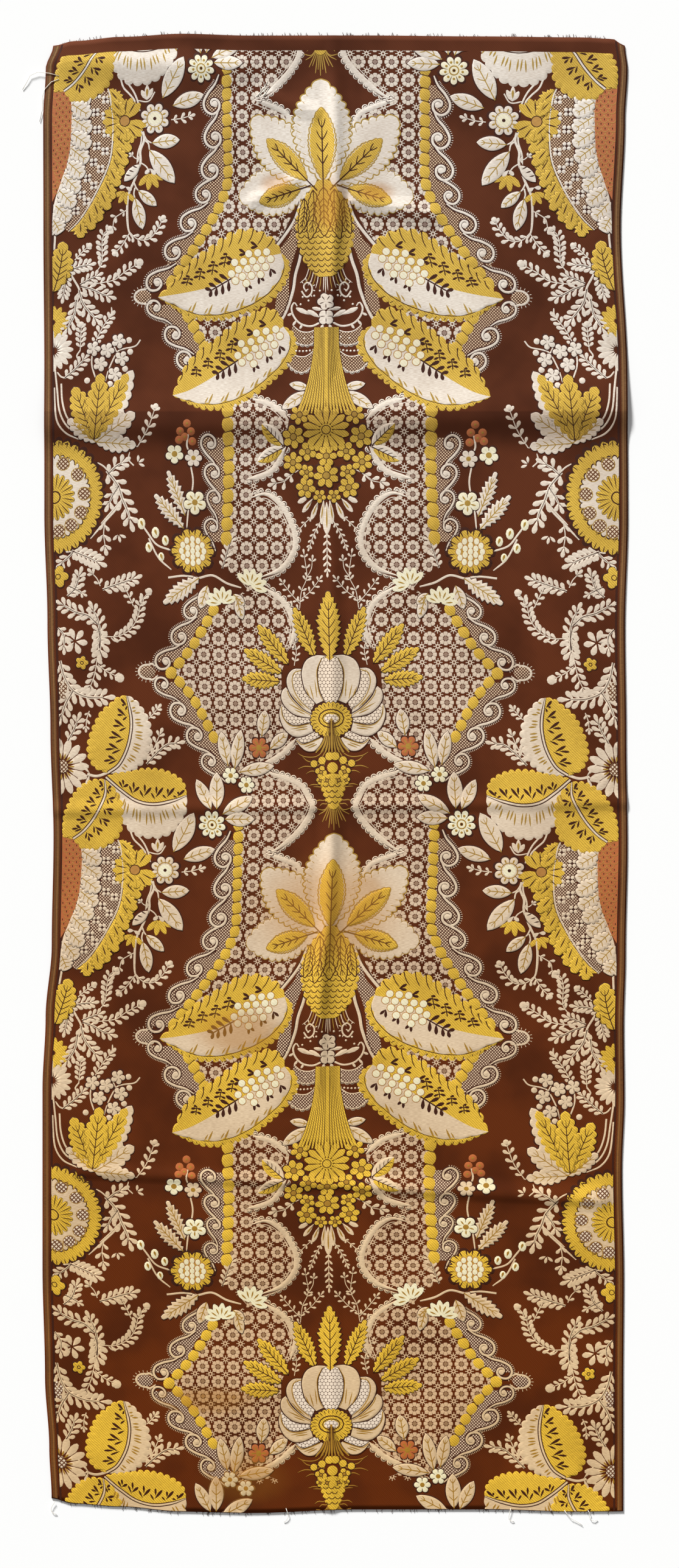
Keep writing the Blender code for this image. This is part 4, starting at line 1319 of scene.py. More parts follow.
def triple_leaf():
    """Three lobed gold leaves and two cream ones that rise from the thick stem at the edge."""
    leaf(LEAF, (398, 596), (336, 482), 20, 0.32, lobes=8, depth=5)
    for tip, half, lift in (((439, 506), 20, 0.36), ((345, 487), 17, 0.38), ((392, 486), 20, 0.44)):
        leaf(GOLD, (404, 596), tip, half, lift, lobes=8, depth=6)
        veins(MARKS, (404, 596), tip, half, 5, 1.5, lift + 0.12)
    for tip, half in (((332, 553), 17), ((330, 607), 14), ((450, 560), 12)):
        veined(LEAF, (400, 600), tip, half, lift=0.33, lobes=6, depth=5, count=4)


def half_medallion():
    """Half of a round figure that the selvage cuts: a gold ring, a cream one with ovals of net, a daisy."""
    centre = np.array([473.0, 688.0])
    tall = (0.94, 1.04)
    blossom(GOLD, centre, 97, 34, 0.08, lift=0.36, stretch=tall)
    petals_around(MARKS, centre, 80, 91, 34, 1.6, 5, 0.44, stretch=tall)
    blossom(MARKS, centre, 77, 40, 0.06, lift=0.44, stretch=tall)
    blossom(LEAF, centre, 76, 40, 0.08, lift=0.5, stretch=tall)
    petals_around(GOLD_THREAD, centre, 60, 71, 26, 2.4, 4, 0.58, stretch=tall)
    angle = np.radians([-17, -51, -86, -118, -146, -172])
    ovals = centre + 55 * clock(angle, *tall)
    dots(GOLD_THREAD, ovals, 12.0, 0.57, 14)
    dots("oval_net", ovals, 10.4, 0.64, 14)
    blossom(GOLD, centre, 43, 20, 0.2, lift=0.6, stretch=tall)
    petals_around(MARKS, centre, 14, 38, 20, 1.8, 9, 0.68, stretch=tall)
    hoop(MARKS, centre, 10, 2.2, 0.7)
    dots(GOLD, [centre], 8, 0.72, 12)


# Two-toned leaves: the lift, the midrib, the gold edge, the cream or gold edge

BROAD_LEAVES = [
    (0.35, [(356, 1020), (350, 1053), (350, 1077), (357, 1106), (372, 1133), (392, 1147)],
     [(356, 1020), (372, 1023), (387, 1035), (402, 1047), (416, 1071), (425, 1097), (425, 1118), (414, 1138),
      (392, 1147)],
     [(356, 1020), (343, 1026), (332, 1038), (322, 1053), (316, 1071), (315, 1088), (319, 1109), (331, 1130),
      (356, 1146),
      (392, 1147)], LEAF),
    (0.39, [(256, 1183), (282, 1192), (314, 1198), (344, 1193), (370, 1176), (396, 1154)],
     [(256, 1183), (262, 1160), (288, 1144), (320, 1140), (352, 1144), (378, 1148), (396, 1154)],
     [(256, 1183), (259, 1212), (276, 1238), (300, 1252), (328, 1254), (352, 1246), (374, 1218), (396, 1154)],
     LEAF),
    (0.44, [(398, 1158), (398, 1182), (411, 1209), (424, 1228), (440, 1245), (456, 1257)],
     [(398, 1158), (424, 1160), (448, 1176), (466, 1204), (475, 1232), (475, 1252), (456, 1257)],
     [(398, 1158), (376, 1180), (367, 1208), (373, 1244), (385, 1261), (400, 1272), (418, 1277), (440, 1275),
      (456, 1257)],
     GOLD),
]


# Marks between a midrib and an edge: where they start and end, how far they sag, and their width
BROAD_MARKS = ((0.2, 0.5, -0.7, 4.6), (0.3, 0.52, 0.3, 3.8), (0.14, 0.32, 0.8, 3.2))


def broad_leaves():
    """Lobed leaves in two colours, with brown marks on the gold half and gold strokes on the cream one."""
    for lift, midrib, gold_edge, other_edge, other in BROAD_LEAVES:
        panel(GOLD, midrib, gold_edge, lift, lobes=14, depth=5)
        panel(other, midrib, other_edge, lift, lobes=14, depth=5)
        thread(MARKS, midrib, 6.4, 0.54, start=0.4, end=1.0)
        thread(LACE, midrib, 3.0, 0.64, start=0.4, end=1.0)
        rib = even(smooth_path(midrib), 40)[0]
        for edge, finish in ((gold_edge, MARKS), (other_edge, MARKS if other == GOLD else "")):
            rim = even(smooth_path(edge), 40)[0]
            at = np.array([5, 10, 15, 20, 25, 30])
            span, down = rim[at] - rib[at], rib[at + 3] - rib[at]
            for first, last, sag, wide in BROAD_MARKS:
                if finish:
                    clubs(finish, rib[at] + first * span, rib[at] + last * span + sag * down, wide, 0.58)
                else:
                    clubs(GOLD_THREAD, rib[at] + 0.24 * span + sag * down, rib[at] + 0.6 * span + sag * down,
                          2.8, 0.56,
                          belly=0.9)
    petals_around(LEAF, (472, 1136), 12, 47, 9, 15, -90, 0.36, arc=190, belly=1.6)
    petals_around(GOLD_THREAD, (472, 1136), 12, 22, 9, 3, -90, 0.48, arc=190)
    dots("oval_net", [(472, 1136)], 11, 0.5, 14)
    clubs(FOLIAGE, [(423, 1149)] * 3, [(440, 1128), (446, 1158), (432, 1168)], 6, 0.3)


def small_flowers():
    """The sprig of small lobed flowers, its buds, the half daisy at the edge, and flowers between leaves."""
    for u, v in CLOVERS:
        blossom(FOLIAGE, (u, v), 14.5, 5, 0.46, 0.2, 0.34)
        petals_around(MARKS, (u, v), 2, 9.5, 5, 1.2, 20, 0.42)
    dots(FOLIAGE, BUDS, 5.4, 0.34, 10)
    petals_around(FOLIAGE, (474, 444), 6, 34, 9, 11, -90, 0.34, arc=180, belly=1.6)
    petals_around(FOLIAGE, (443, 928), 3, 22, 6, 12, 20, 0.34, belly=1.5)
    for u, v, radius in EDGE_BLOSSOMS:
        blossom(GOLD, (u, v), radius, 5, 0.5, 0.3, 0.36)
        hoop(MARKS, (u, v), 0.2 * radius, 1.4, 0.46)
    dots("oval_net", [(467, 1009)], 9, 0.3, 14, stretch=(1.0, 2.0))
    leaf(LEAF, (321, 144), (349, 171), 9, 0.36)
    clubs(MARKS, [(325, 150), (331, 156), (337, 162)], [(333, 146), (340, 153), (346, 160)], 2.4, 0.46)
    clubs(LEAF, [(308, 38)] * 3, [(308, 14), (298, 20), (318, 22)], 10, 0.36, belly=1.1)
    clubs(GOLD_THREAD, [(308, 34)], [(308, 20)], 4, 0.46)
    clubs(LEAF, [(303, 152), (303, 152), (346, 180), (346, 180)],
          [(294, 162), (312, 160), (336, 186), (357, 180)],
          7, 0.42)


def selvages():
    """The plain edges down both sides: a gold-brown stripe between a dark inner band and the dark rim."""
    along = np.linspace(-HALF_LENGTH + 1 * MM, HALF_LENGTH - 1 * MM, 500)
    for name, first, last, lift in (("selvage_stripe", 264.2, 268.6, 0.1),
                                    ("selvage_thread", 265.4, 266.2, 0.16),
                                    ("selvage_dark", 260.6, 262.6, 0.08)):
        across = np.array([first, 0.5 * (first + last), last]) * MM
        for side in (1, -1):
            edges.setdefault(name, []).append(on_rectangle(*np.meshgrid(side * across, along), lift))


def draw_figures():
    """Draws everything. The order settles how figures of one finish are staggered."""
    for draw in (lace_ground, lace_bands, rope, scrolls, check_nets, palmette, hanging_fruit, stems, garland,
                 sheaf, bouquet, loose_sprigs, crown_of_leaves, pomegranate, tassel, leaf_fruits, foliage,
                 border_flowers, side_crescent, triple_leaf, half_medallion, broad_leaves, small_flowers,
                 selvages):
        draw()


# From the draft to meshes


def split_finely(grids):
    """Grids with points put in on straight lines, so that no step bridges a fold of the cloth."""
    reach = np.abs(grids[..., 0]).min()
    limit = RIDGE_STEP if reach < RIDGE_REACH else 2 * RIDGE_STEP
    for axis in (1, 2):
        steps = np.diff(grids[..., :2], axis=axis)
        widest = np.hypot(steps[..., 0], steps[..., 1]).max(axis=(0, 3 - axis))
        ends = np.concatenate([[0], np.cumsum(np.maximum(np.ceil(widest / limit), 1))])
        at = np.interp(np.arange(ends[-1] + 1), ends, np.arange(len(ends)))
        low = np.minimum(at.astype(int), len(widest) - 1)
        share = (at - low).reshape([-1 if k == axis else 1 for k in range(4)])
        grids = np.take(grids, low, axis) * (1 - share) + np.take(grids, low + 1, axis) * share
    return grids


def corner_numbers(count, rows, columns):
    """The corners of every triangle in a stack of count grids."""
    index = np.arange(count * rows * columns).reshape(count, rows, columns)
    a, b, c, d = index[:, :-1, :-1], index[:, :-1, 1:], index[:, 1:, 1:], index[:, 1:, :-1]
    return np.concatenate([np.stack([a, b, c], axis=-1).reshape(-1, 3),
                           np.stack([a, c, d], axis=-1).reshape(-1, 3)])


def laid_out(finish):
    """All points and triangles of a finish: every grid on both sides of the centre line and in every repeat.

    A grid is split finely only where it crosses a fold, since the rest of the cloth lies flat.
    """
    all_points, all_triangles, total = [], [], 0
    for grids, both in figures.get(finish, []):
        fine = split_finely(grids)
        for repeat in (-1, 0, 1):
            v = grids[..., 1] + REPEAT * repeat
            if v.max() < WARP_ROWS[0, 0] or v.min() > WARP_ROWS[-1, 0]:
                continue
            for side in (1, -1) if both else (1,):
                ground = on_cloth(fine.reshape(-1, 3) * (1, 1, 0), side, repeat)[:, 2]
                raised = ground.reshape(len(fine), -1).max(axis=1) > SHEET_THICKNESS + LEVEL_WITHIN
                for chosen in (fine[raised], grids[~raised]):
                    if len(chosen):
                        all_points.append(on_cloth(chosen.reshape(-1, 3), side, repeat))
                        all_triangles.append(corner_numbers(*chosen.shape[:3]) + total)
                        total += len(all_points[-1])
    for points in edges.get(finish, []):
        all_points.append(points.reshape(-1, 3))
        all_triangles.append(corner_numbers(1, *points.shape[:2]) + total)
        total += len(all_points[-1])
    return np.concatenate(all_points), np.concatenate(all_triangles)


# Points in one cell of this size become one. A triangle with a smaller doubled area, in square metres, goes.
MERGE_STEP, LEAST_AREA = 0.01 * MM, 1e-9
# Two large numbers that make one number of the three rounded coordinates of a point
KEY_STEPS = 2000003, 20011


def merged(points, triangles):
    """The triangles facing up, with points in one place made one. Empty and repeated ones are left out."""
    keys = np.round(points / MERGE_STEP).astype(np.int64)
    keys = (keys[:, 0] * KEY_STEPS[0] + keys[:, 1]) * KEY_STEPS[1] + keys[:, 2]
    _, first, number = np.unique(keys, return_index=True, return_inverse=True)
    points, triangles = points[first], number.ravel()[triangles]
    a, b, c = (points[triangles[:, k], :2] for k in range(3))
    area = (b[:, 0] - a[:, 0]) * (c[:, 1] - a[:, 1]) - (b[:, 1] - a[:, 1]) * (c[:, 0] - a[:, 0])
    triangles = np.where(area[:, None] < 0, triangles[:, ::-1], triangles)[np.abs(area) > LEAST_AREA]
    first = np.unique(np.sort(triangles, axis=1), axis=0, return_index=True)[1]
    triangles = triangles[np.sort(first)]
    used, number = np.unique(triangles, return_inverse=True)
    return points[used], number.reshape(triangles.shape)


def mesh_object(name, points, faces, material):
    """An object with one mesh of faces that all have as many corners."""
    corners = faces.shape[1]
    mesh = bpy.data.meshes.new(name)
    mesh.vertices.add(len(points))
    mesh.vertices.foreach_set("co", points.ravel())
    mesh.loops.add(faces.size)
    mesh.loops.foreach_set("vertex_index", faces.ravel())
    mesh.polygons.add(len(faces))
    mesh.polygons.foreach_set("loop_start", np.arange(0, faces.size, corners))
    mesh.update(calc_edges=True)
    mesh.validate()
    mesh.shade_smooth()
    mesh.materials.append(material)
    made = bpy.data.objects.new(name, mesh)
    bpy.context.scene.collection.objects.link(made)
    return made


def ground_cloth(material):
    """The upper face of the cloth as a grid, thickened downwards."""
    points = np.stack([GRID_X, GRID_Y, GRID_HEIGHT + SHEET_THICKNESS], axis=-1)
    rows, columns = points.shape[:2]
    index = np.arange(rows * columns).reshape(rows, columns)
    corners = [index[:-1, :-1], index[:-1, 1:], index[1:, 1:], index[1:, :-1]]
    faces = np.stack([corner.ravel() for corner in corners], axis=1)
    cloth = mesh_object("silk_ground", points.reshape(-1, 3), faces, material)
    thicken = cloth.modifiers.new("thickness", "SOLIDIFY")
    thicken.thickness = SHEET_THICKNESS
    thicken.offset = -1.0
    return cloth


# Materials


def node(tree, kind, wires=(), **settings):
    """A shader node with its settings, its inputs set to values or joined to other nodes' outputs."""
    made = tree.nodes.new(kind)
    for name, value in settings.items():
        setattr(made, name, value)
    for place, value in dict(wires).items():
        if isinstance(value, bpy.types.NodeSocket):
            tree.links.new(value, made.inputs[place])
        else:
            made.inputs[place].default_value = value
    return made


def sums(tree, operation, *values):
    """The result of one Math node."""
    return node(tree, "ShaderNodeMath", enumerate(values), operation=operation).outputs[0]


def blend(tree, share, first, second):
    """The result of one colour Mix node."""
    return node(tree, "ShaderNodeMix", {0: share, 6: first, 7: second}, data_type="RGBA").outputs[2]


def ramp(tree, value, low, high):
    """A value eased from 0 at low to 1 at high."""
    wires = {0: value, 1: low, 2: high, 3: 0.0, 4: 1.0}
    return node(tree, "ShaderNodeMapRange", wires, interpolation_type="SMOOTHSTEP", clamp=True).outputs[0]


def noise(tree, place, scale, detail):
    """The value of one Noise Texture node."""
    wires = {"Vector": place, "Scale": scale, "Detail": detail}
    return node(tree, "ShaderNodeTexNoise", wires).outputs[0]


def colour(red, green, blue):
    """A colour written as on screen, 0 to 255, in linear light."""
    screen = np.array([red, green, blue]) / 255
    linear = np.where(screen <= 0.04045, screen / 12.92, ((screen + 0.055) / 1.055) ** 2.4)
    return (*linear.tolist(), 1.0)


def group(name, inputs, outputs):
    """An empty shader node group with number inputs and outputs, and its own input and output nodes."""
    tree = bpy.data.node_groups.new(name, "ShaderNodeTree")
    for label, value in inputs:
        socket = tree.interface.new_socket(label, in_out="INPUT", socket_type="NodeSocketFloat")
        socket.default_value = value
    for label in outputs:
        tree.interface.new_socket(label, in_out="OUTPUT", socket_type="NodeSocketFloat")
    return tree, node(tree, "NodeGroupInput"), node(tree, "NodeGroupOutput")


WOBBLE_SCALE = 90.0


def twill_group():
    """Lines of a weave: the share of a wave across the cloth at a turn in degrees, with a pitch in mm."""
    tree, given, result = group("weave lines", [("Pitch", 2.5), ("Turn", 45.0), ("Low", 0.5), ("High", 0.9)],
                                ["Lines"])
    place = node(tree, "ShaderNodeTexCoord").outputs["Object"]
    angle = sums(tree, "RADIANS", given.outputs["Turn"])
    spun = node(tree, "ShaderNodeVectorRotate", {"Vector": place, "Angle": angle}, rotation_type="Z_AXIS")
    across = node(tree, "ShaderNodeSeparateXYZ", {0: spun.outputs[0]}).outputs[0]
    wobble = noise(tree, place, WOBBLE_SCALE, 2.0)
    count = sums(tree, "DIVIDE", sums(tree, "MULTIPLY", across, 1000.0), given.outputs["Pitch"])
    count = sums(tree, "ADD", count, sums(tree, "MULTIPLY", wobble, 1.1))
    wave = sums(tree, "PINGPONG", count, 0.5)
    line = ramp(tree, sums(tree, "MULTIPLY", wave, 2.0), given.outputs["Low"], given.outputs["High"])
    tree.links.new(line, result.inputs["Lines"])
    return tree


# Amber ovals: the middle x, y and the half sizes, in mm. Most are stains; the fifth and sixth, on the
# palmette's lower leaves, are painted shade beside the puckers there.
STAINS_AND_PUCKER_SHADE = [(-83, -659, 50, 30), (28, -110, 26, 24), (-91, -241, 54, 28), (-4, 529, 24, 32), (-55, 551, 20, 13),
          (39, 543, 22, 12), (-120, -585, 60, 16), (-6, -130, 88, 66)]


# Where the painted shade band below the cross fold starts and ends, each from none to full, in metres along
SHADE_BAND_FOOT, SHADE_BAND_HEAD = (0.296, 0.32), (0.339, 0.3365)
BLOTCH_SCALE, GRAIN_SCALES = 14.0, (260.0, 2400.0, 1.0)


def age_marks_and_light_group():
    """The cloth's blotches, grain and stains, and painted light: along is 0 at the heading and 1 at the foot,
    and sets the painted sheen from top to foot; blotches and grain are noise.

    Amber ovals eased from middle to rim are stains, but two are painted shade beside puckers; fold shade
    is a painted shade band below the cross fold.
    """
    tree, _, result = group("age_marks_and_light", [], ["Along", "Blotches", "Grain", "StainsAndShade", "FoldShade"])
    place = node(tree, "ShaderNodeTexCoord").outputs["Object"]
    along = node(tree, "ShaderNodeSeparateXYZ", {0: place}).outputs[1]
    tree.links.new(ramp(tree, along, HALF_LENGTH, -HALF_LENGTH), result.inputs["Along"])
    tree.links.new(ramp(tree, noise(tree, place, BLOTCH_SCALE, 3.0), 0.35, 0.7), result.inputs["Blotches"])
    stretched = node(tree, "ShaderNodeMapping", {"Vector": place, "Scale": GRAIN_SCALES})
    grain = noise(tree, stretched.outputs[0], 1.0, 1.0)
    tree.links.new(ramp(tree, grain, 0.3, 0.7), result.inputs["Grain"])
    # Amber ovals: stains, and two of painted shade beside the palmette's puckers.
    stained_or_shaded = 0.0
    for x, y, wide, long in STAINS_AND_PUCKER_SHADE:
        oval = node(tree, "ShaderNodeMapping", {"Vector": place, "Location": (x * MM, y * MM, 0.0),
                                                "Scale": (wide * MM, long * MM, 1e6)}, vector_type="TEXTURE")
        away = node(tree, "ShaderNodeVectorMath", {0: oval.outputs[0]}, operation="LENGTH").outputs["Value"]
        stained_or_shaded = sums(tree, "MAXIMUM", stained_or_shaded, ramp(tree, away, 1.0, 0.35))
    tree.links.new(stained_or_shaded, result.inputs["StainsAndShade"])
    # Painted shade: a darker band below the cross fold.
    band = sums(tree, "MULTIPLY", ramp(tree, along, *SHADE_BAND_FOOT), ramp(tree, along, *SHADE_BAND_HEAD))
    tree.links.new(band, result.inputs["FoldShade"])
    return tree


TWILL, AGE_MARKS_AND_LIGHT = twill_group(), age_marks_and_light_group()


def lines(tree, pitch, turn, low, high):
    """The lines of a weave in a material: their pitch in mm, their turn, and where their edges run."""
    wires = {"Pitch": pitch, "Turn": turn, "Low": low, "High": high}
    return node(tree, "ShaderNodeGroup", wires, node_tree=TWILL).outputs[0]


# Roughness and specular level of the figures, the nets, the ground and the floor
SILK_GLOSS, NET_GLOSS, GROUND_GLOSS, FLOOR_GLOSS = (0.6, 0.14), (0.65, 0.1), (0.7, 0.04), (0.9, 0.5)
# The amber of the stains, also used for painted shade beside the palmette's puckers.
STAIN_AND_SHADE_AMBER, GROUND_POINTS, FLOOR_WHITE = (176, 118, 40), (134, 84, 56), (251, 251, 250)


def new_material(name, gloss):
    """A material with its node tree and its shader. Gloss is the roughness and the specular level."""
    material = bpy.data.materials.new(name)
    material.use_nodes = True
    shader = material.node_tree.nodes["Principled BSDF"]
    for label, value in zip(("Roughness", "Specular IOR Level"), gloss):
        shader.inputs[label].default_value = value
    return material, material.node_tree, shader


def aged_and_shaded(tree, marks_and_light, base, dark, blotch, stain_and_shade=0.5):
    """A colour with blotches, amber stains and amber painted shade beside puckers, and a darker painted shade
    band under the cross fold.
    """
    base = blend(tree, sums(tree, "MULTIPLY", marks_and_light.outputs["Blotches"], blotch), base, colour(*dark))
    # Amber: stains, and painted shade beside the puckers.
    base = blend(tree, sums(tree, "MULTIPLY", marks_and_light.outputs["StainsAndShade"], stain_and_shade), base, colour(*STAIN_AND_SHADE_AMBER))
    # Painted shade: the band under the cross fold is darkened with the dark colour.
    return blend(tree, sums(tree, "MULTIPLY", marks_and_light.outputs["FoldShade"], 0.34), base, colour(*dark))


def silk(name, top, foot, dark, marks=0.0, pitch=2.5, turn=-45.0, blotch=0.25, grain=0.25):
    """Silk that goes from a top colour to a foot colour, a painted sheen, with lines, blotches, grain and a
    painted shade band in a dark colour.
    """
    material, tree, shader = new_material(name, SILK_GLOSS)
    marks_and_light = node(tree, "ShaderNodeGroup", node_tree=AGE_MARKS_AND_LIGHT)
    # Painted sheen: the colour changes from the top colour at the heading to the foot colour.
    base = blend(tree, marks_and_light.outputs["Along"], colour(*top), colour(*foot))
    if marks:
        share = sums(tree, "MULTIPLY", lines(tree, pitch, turn, 0.5, 0.95), marks)
        base = blend(tree, share, base, colour(*dark))
    if grain:
        base = blend(tree, sums(tree, "MULTIPLY", marks_and_light.outputs["Grain"], grain), base, colour(*dark))
    tree.links.new(aged_and_shaded(tree, marks_and_light, base, dark, blotch), shader.inputs["Base Color"])
    return material


def net_silk(name, thread, gap, pitch, cells):
    """Light threads over brown cloth: squares in slanting rows, or the round cells of a honeycomb."""
    material, tree, shader = new_material(name, NET_GLOSS)
    if cells:
        place = node(tree, "ShaderNodeTexCoord").outputs["Object"]
        axes = node(tree, "ShaderNodeSeparateXYZ", {0: place}).outputs
        near = []
        for shift in (0.0, 0.5):
            parts = []
            for axis, step in ((0, 1.0), (1, np.sqrt(3))):
                count = sums(tree, "ADD", sums(tree, "DIVIDE", axes[axis], step * pitch * MM), shift)
                part = sums(tree, "MULTIPLY", sums(tree, "PINGPONG", count, 0.5), step)
                parts.append(sums(tree, "MULTIPLY", part, part))
            near.append(sums(tree, "SQRT", sums(tree, "ADD", *parts)))
        share = ramp(tree, sums(tree, "MINIMUM", *near), 0.5, 0.43)
    else:
        waves = [lines(tree, pitch, turn, 0.3, 0.5) for turn in (45.0, -45.0)]
        share = sums(tree, "MULTIPLY", *waves)
    base = blend(tree, share, colour(*gap), colour(*thread))
    tree.links.new(base, shader.inputs["Base Color"])
    return material


# Top and foot colours: the change between them along the cloth is painted sheen.
BROWN_TOP, BROWN_FOOT, BROWN_DARK = (90, 47, 30), (94, 38, 4), (34, 15, 9)
THREAD_WHITE, THREAD_DARK = (236, 232, 222), (196, 184, 160)
CREAM_TOP, CREAM_FOOT, CREAM_DARK = (244, 236, 224), (232, 200, 154), (140, 106, 72)
GOLD_TOP, GOLD_FOOT, GOLD_DARK = (234, 196, 86), (248, 200, 62), (100, 60, 14)


def finishes():
    """The material and the record's slot of every finish of the figures."""
    cream = silk("cream silk", CREAM_TOP, CREAM_FOOT, CREAM_DARK, grain=0.35)
    gold = silk("gold silk", GOLD_TOP, GOLD_FOOT, GOLD_DARK, marks=0.52, pitch=1.8, grain=0.25)
    brown = silk("brown thread", (68, 37, 28), (64, 27, 9), BROWN_DARK, grain=0.1)
    return {
        "lace_net": (silk("lace thread", (232, 222, 208), (222, 184, 140), CREAM_DARK, grain=0.3),
                     "cream_weft"),
        LACE: (cream, "cream_weft"),
        FOLIAGE: (cream, "cream_weft"),
        LEAF: (cream, "cream_weft"),
        "gold_rope": (gold, "gold_weft"),
        GOLD: (gold, "gold_weft"),
        BLOSSOMS: (gold, "gold_weft"),
        GOLD_THREAD: (silk("gold thread", (184, 152, 74), (172, 126, 40), GOLD_DARK), "gold_weft"),
        IVORY: (silk("ivory silk", (244, 240, 216), (246, 236, 196), (186, 160, 104), marks=0.2, grain=0.2),
                          "ivory_weft"),
        "coral_figures": (silk("coral silk", (192, 116, 76), (190, 104, 52), (128, 70, 36), grain=0.3),
                          "coral_weft"),
        "tan_marks": (silk("tan silk", (196, 150, 82), (186, 126, 56), (112, 62, 36)), "coral_weft"),
        "net_diamonds": (silk("grey tan silk", (158, 136, 126), (160, 122, 82), (112, 82, 60)), "coral_weft"),
        MARKS: (brown, "brown_ground"),
        "brown_outlines": (brown, "brown_ground"),
        "selvage_stripe": (silk("selvage silk", (122, 88, 56), (118, 72, 30), (70, 42, 22), grain=0.5),
                           "gold_weft"),
        "selvage_thread": (silk("selvage thread", (156, 118, 76), (150, 98, 44), (90, 56, 30)), "gold_weft"),
        "selvage_dark": (brown, "brown_ground"),
        "check_net": (net_silk("check net", (226, 198, 164), (78, 40, 26), 2.0, False), "cream_weft"),
        "mesh_net": (net_silk("mesh net", (232, 212, 188), (70, 36, 22), 3.5, True), "cream_weft"),
        "oval_net": (net_silk("oval net", (226, 206, 178), (106, 68, 44), 2.8, False), "cream_weft"),
    }


def ground_silk():
    """The brown ground: a dotted twill of lighter points, paler and redder in places, with a painted sheen
    from top to foot.
    """
    material, tree, shader = new_material("brown silk ground", GROUND_GLOSS)
    marks_and_light = node(tree, "ShaderNodeGroup", node_tree=AGE_MARKS_AND_LIGHT)
    # Painted sheen: the brown changes from the heading to the foot.
    base = blend(tree, marks_and_light.outputs["Along"], colour(*BROWN_TOP), colour(*BROWN_FOOT))
    dots_share = sums(tree, "MULTIPLY", lines(tree, 1.3, -45.0, 0.3, 0.9), lines(tree, 1.3, 20.0, 0.2, 0.8))
    base = blend(tree, sums(tree, "MULTIPLY", dots_share, 0.35), base, colour(*GROUND_POINTS))
    tree.links.new(aged_and_shaded(tree, marks_and_light, base, BROWN_DARK, 0.45, 0.12), shader.inputs["Base Color"])
    return material


# Loose threads and frays, in mm from the middle of the cloth

LOOSE_THREADS = [
    [(-258, 651), (-267, 653.5), (-278, 654.5), (-285, 651.5), (-288, 645.5), (-292, 638.5)],
    [(-258, 648), (-265, 645.5), (-271, 639), (-274, 631), (-273.5, 620), (-276, 608.5)],
    [(-262, -680), (-264, -683), (-265.5, -686.5), (-265, -689), (-263, -691), (-260, -692)],
    [(-46, -686), (-44.5, -690), (-43.5, -693), (-44.5, -695.5), (-46, -697.5), (-48, -699)],
    [(164, -686), (163, -690), (162, -694), (162.5, -696.5), (164.5, -698), (167, -698.5)],
    [(214, -688), (217, -692), (220, -695.5), (224, -697.5), (228, -700), (231, -702.5)],
    [(236, -688), (238, -691), (237, -694), (239, -697), (242, -698), (245, -697)],
]

WORN_PLACE, WORN_YARNS = (-66.0, 638.5), 9
THREAD_RADIUS, FRAY_RADIUS, FRAYS = 0.28 * MM, 0.2 * MM, 150
DRAWS_SEED = 7


def yarns(paths, radius):
    """Thin threads of square section along paths: four corners round each point, and the faces."""
    way = np.gradient(paths, axis=1)
    way /= np.maximum(np.linalg.norm(way, axis=-1, keepdims=True), 1e-12)
    side = np.stack([way[..., 1], -way[..., 0], 0 * way[..., 0]], axis=-1)
    side /= np.maximum(np.linalg.norm(side, axis=-1, keepdims=True), 1e-12)
    over = np.cross(side, way)
    rings = paths[:, :, None] + radius * np.stack([side, over, -side, -over], axis=2)
    index = np.arange(rings.size // 3).reshape(rings.shape[:3])
    turn = np.roll(index, -1, axis=2)
    walls = np.stack([index[:, :-1], index[:, 1:], turn[:, 1:], turn[:, :-1]], axis=-1).reshape(-1, 4)
    return rings.reshape(-1, 3), np.concatenate([walls, index[:, 0], index[:, -1, ::-1]])


def loose_threads(white, brown):
    """The loose ends, the pale threads of a small worn place, and short frays along both cut ends."""
    draws = np.random.default_rng(DRAWS_SEED)
    lines_out = np.array(LOOSE_THREADS) * MM
    fall = np.linspace(1, 0, lines_out.shape[1]) ** 0.6
    start = cloth_height(lines_out[:, 0, 0], lines_out[:, 0, 1]) + SHEET_THICKNESS + 0.5 * MM
    ends = np.concatenate([lines_out, (0.4 * MM + (start[:, None] - 0.4 * MM) * fall)[..., None]], axis=-1)
    angle, reach = draws.uniform(-0.5, 0.9, WORN_YARNS), draws.uniform(2.5, 5.5, WORN_YARNS) * MM
    middle = np.array(WORN_PLACE) * MM + draws.uniform(-4, 4, (WORN_YARNS, 2)) * MM
    way = reach[:, None] * np.stack([np.sin(angle), np.cos(angle)], axis=1)
    along = np.linspace(-1, 1, 6)[None, :, None] * way[:, None]
    crossing = middle[:, None] + along
    height = cloth_height(crossing[..., 0], crossing[..., 1]) + SHEET_THICKNESS + 0.4 * MM
    worn = np.concatenate([crossing, height[..., None]], axis=-1)
    pale = mesh_object("loose_threads", *yarns(np.concatenate([ends, worn]), THREAD_RADIUS), white)
    frays = []
    for end in (1, -1):
        across = draws.uniform(-0.97, 0.97, FRAYS) * HALF_WIDTH
        x, y = wandered(across, np.full(FRAYS, end * (HALF_LENGTH - 1 * MM)))
        out, drift = draws.uniform(1.2, 4.2, FRAYS) * MM, draws.uniform(-1.5, 1.5, FRAYS) * MM
        share = np.linspace(0, 1, 4)
        height = cloth_height(x, y) + 0.5 * SHEET_THICKNESS
        frays.append(np.stack([x[:, None] + drift[:, None] * share ** 2,
                               y[:, None] + end * out[:, None] * share,
                               height[:, None] * (1 - 0.5 * share)], axis=-1))
    dark = mesh_object("frays", *yarns(np.concatenate(frays), FRAY_RADIUS), brown)
    for piece in (pale, dark):
        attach(piece, "root")
    return [pale, dark]


# The stage, the light and the camera

CAMERA_HEIGHT = 4.0
CAMERA_ACROSS, CAMERA_ALONG = 4.0 * MM, -9.9 * MM
SEEN_LENGTH = 1.4642
SENSOR = 36.0
KEY_PLACE, KEY_STRENGTH, KEY_ANGLE = (-1.4, 3.0, 1.3), 6.2, 12.0
SKY_STRENGTH = 0.3
FLOOR_HALF, FLOOR_DROP = 4.0, 0.3 * MM


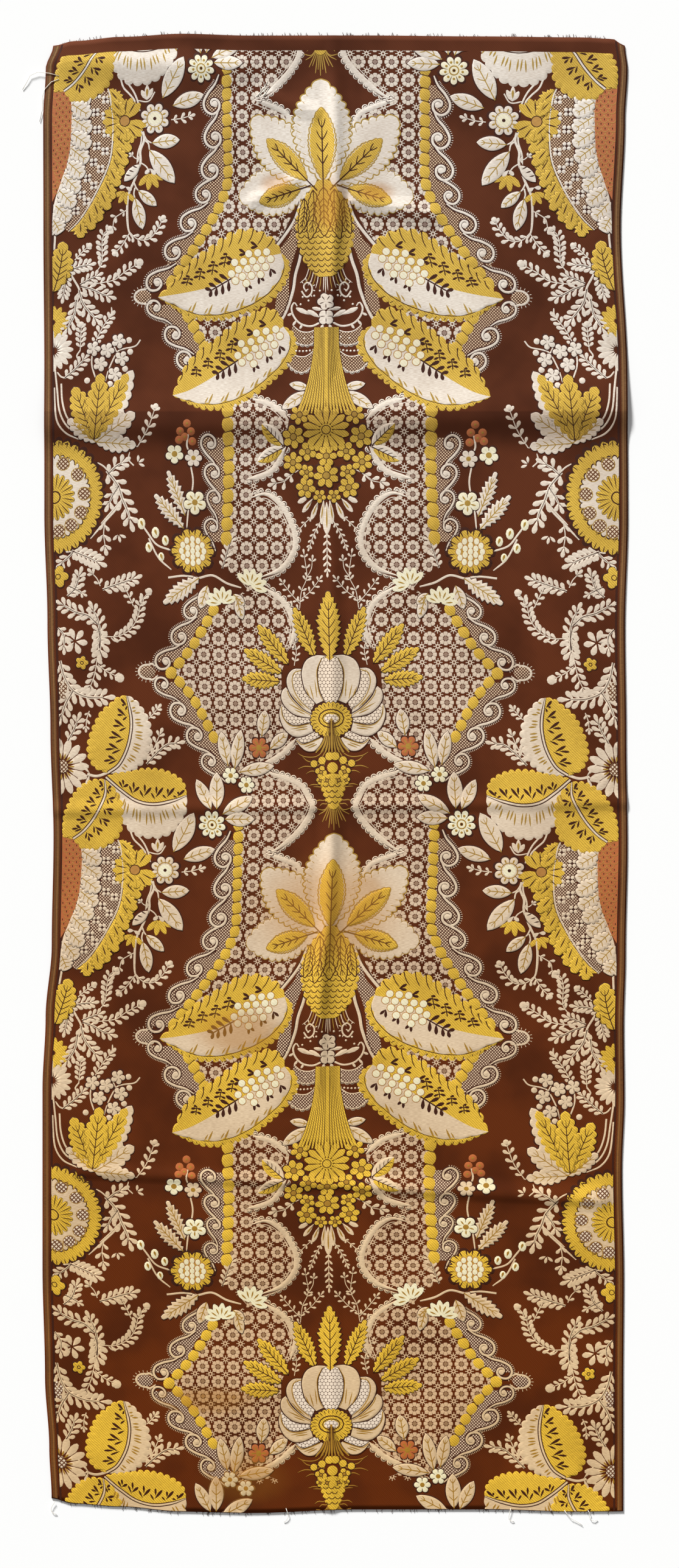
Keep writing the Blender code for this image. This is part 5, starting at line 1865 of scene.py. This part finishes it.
def stage_floor():
    """A plain pale floor under the cloth."""
    corners = FLOOR_HALF * np.array([(-1, -1), (1, -1), (1, 1), (-1, 1)], float)
    points = np.concatenate([corners, np.full((4, 1), -FLOOR_DROP)], axis=1)
    material, _, shader = new_material("pale floor", FLOOR_GLOSS)
    shader.inputs["Base Color"].default_value = colour(*FLOOR_WHITE)
    return mesh_object("floor", points, np.arange(4).reshape(1, 4), material)


def sun(name, place, strength, angle):
    """A soft far lamp that shines from a place towards the middle of the cloth."""
    lamp = bpy.data.lights.new(name, "SUN")
    lamp.energy, lamp.angle = strength, np.radians(angle)
    made = bpy.data.objects.new(name, lamp)
    made.location = place
    made.rotation_euler = (-Vector(place)).to_track_quat("-Z", "Y").to_euler()
    bpy.context.scene.collection.objects.link(made)


def set_stage():
    """Soft light from the heading's side, a pale surrounding, and a camera that looks straight down."""
    stage_floor()
    sun("key light", KEY_PLACE, KEY_STRENGTH, KEY_ANGLE)
    scene = bpy.context.scene
    world = scene.world or bpy.data.worlds.new("world")
    scene.world = world
    world.use_nodes = True
    background = world.node_tree.nodes["Background"]
    background.inputs["Color"].default_value = (1.0, 1.0, 1.0, 1.0)
    background.inputs["Strength"].default_value = SKY_STRENGTH
    scene.view_settings.view_transform = "Standard"
    lens = bpy.data.cameras.new("camera")
    lens.sensor_width, lens.sensor_fit = SENSOR, "AUTO"
    lens.lens = SENSOR * CAMERA_HEIGHT / SEEN_LENGTH
    camera = bpy.data.objects.new("camera", lens)
    camera.location = (CAMERA_ACROSS, CAMERA_ALONG, CAMERA_HEIGHT)
    scene.collection.objects.link(camera)
    scene.camera = camera


def build_all():
    draw_figures()
    cloth = ground_cloth(ground_silk())
    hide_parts("silk_panel")
    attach(cloth, "root")
    looks = finishes()
    pieces = []
    for finish in sorted(figures | edges):
        piece = mesh_object(finish, *merged(*laid_out(finish)), looks[finish][0])
        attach(piece, "root")
        pieces.append(piece)
    white = silk("loose thread", THREAD_WHITE, THREAD_WHITE, THREAD_DARK)
    pieces += loose_threads(white, looks[MARKS][0])


build_all()
set_stage()
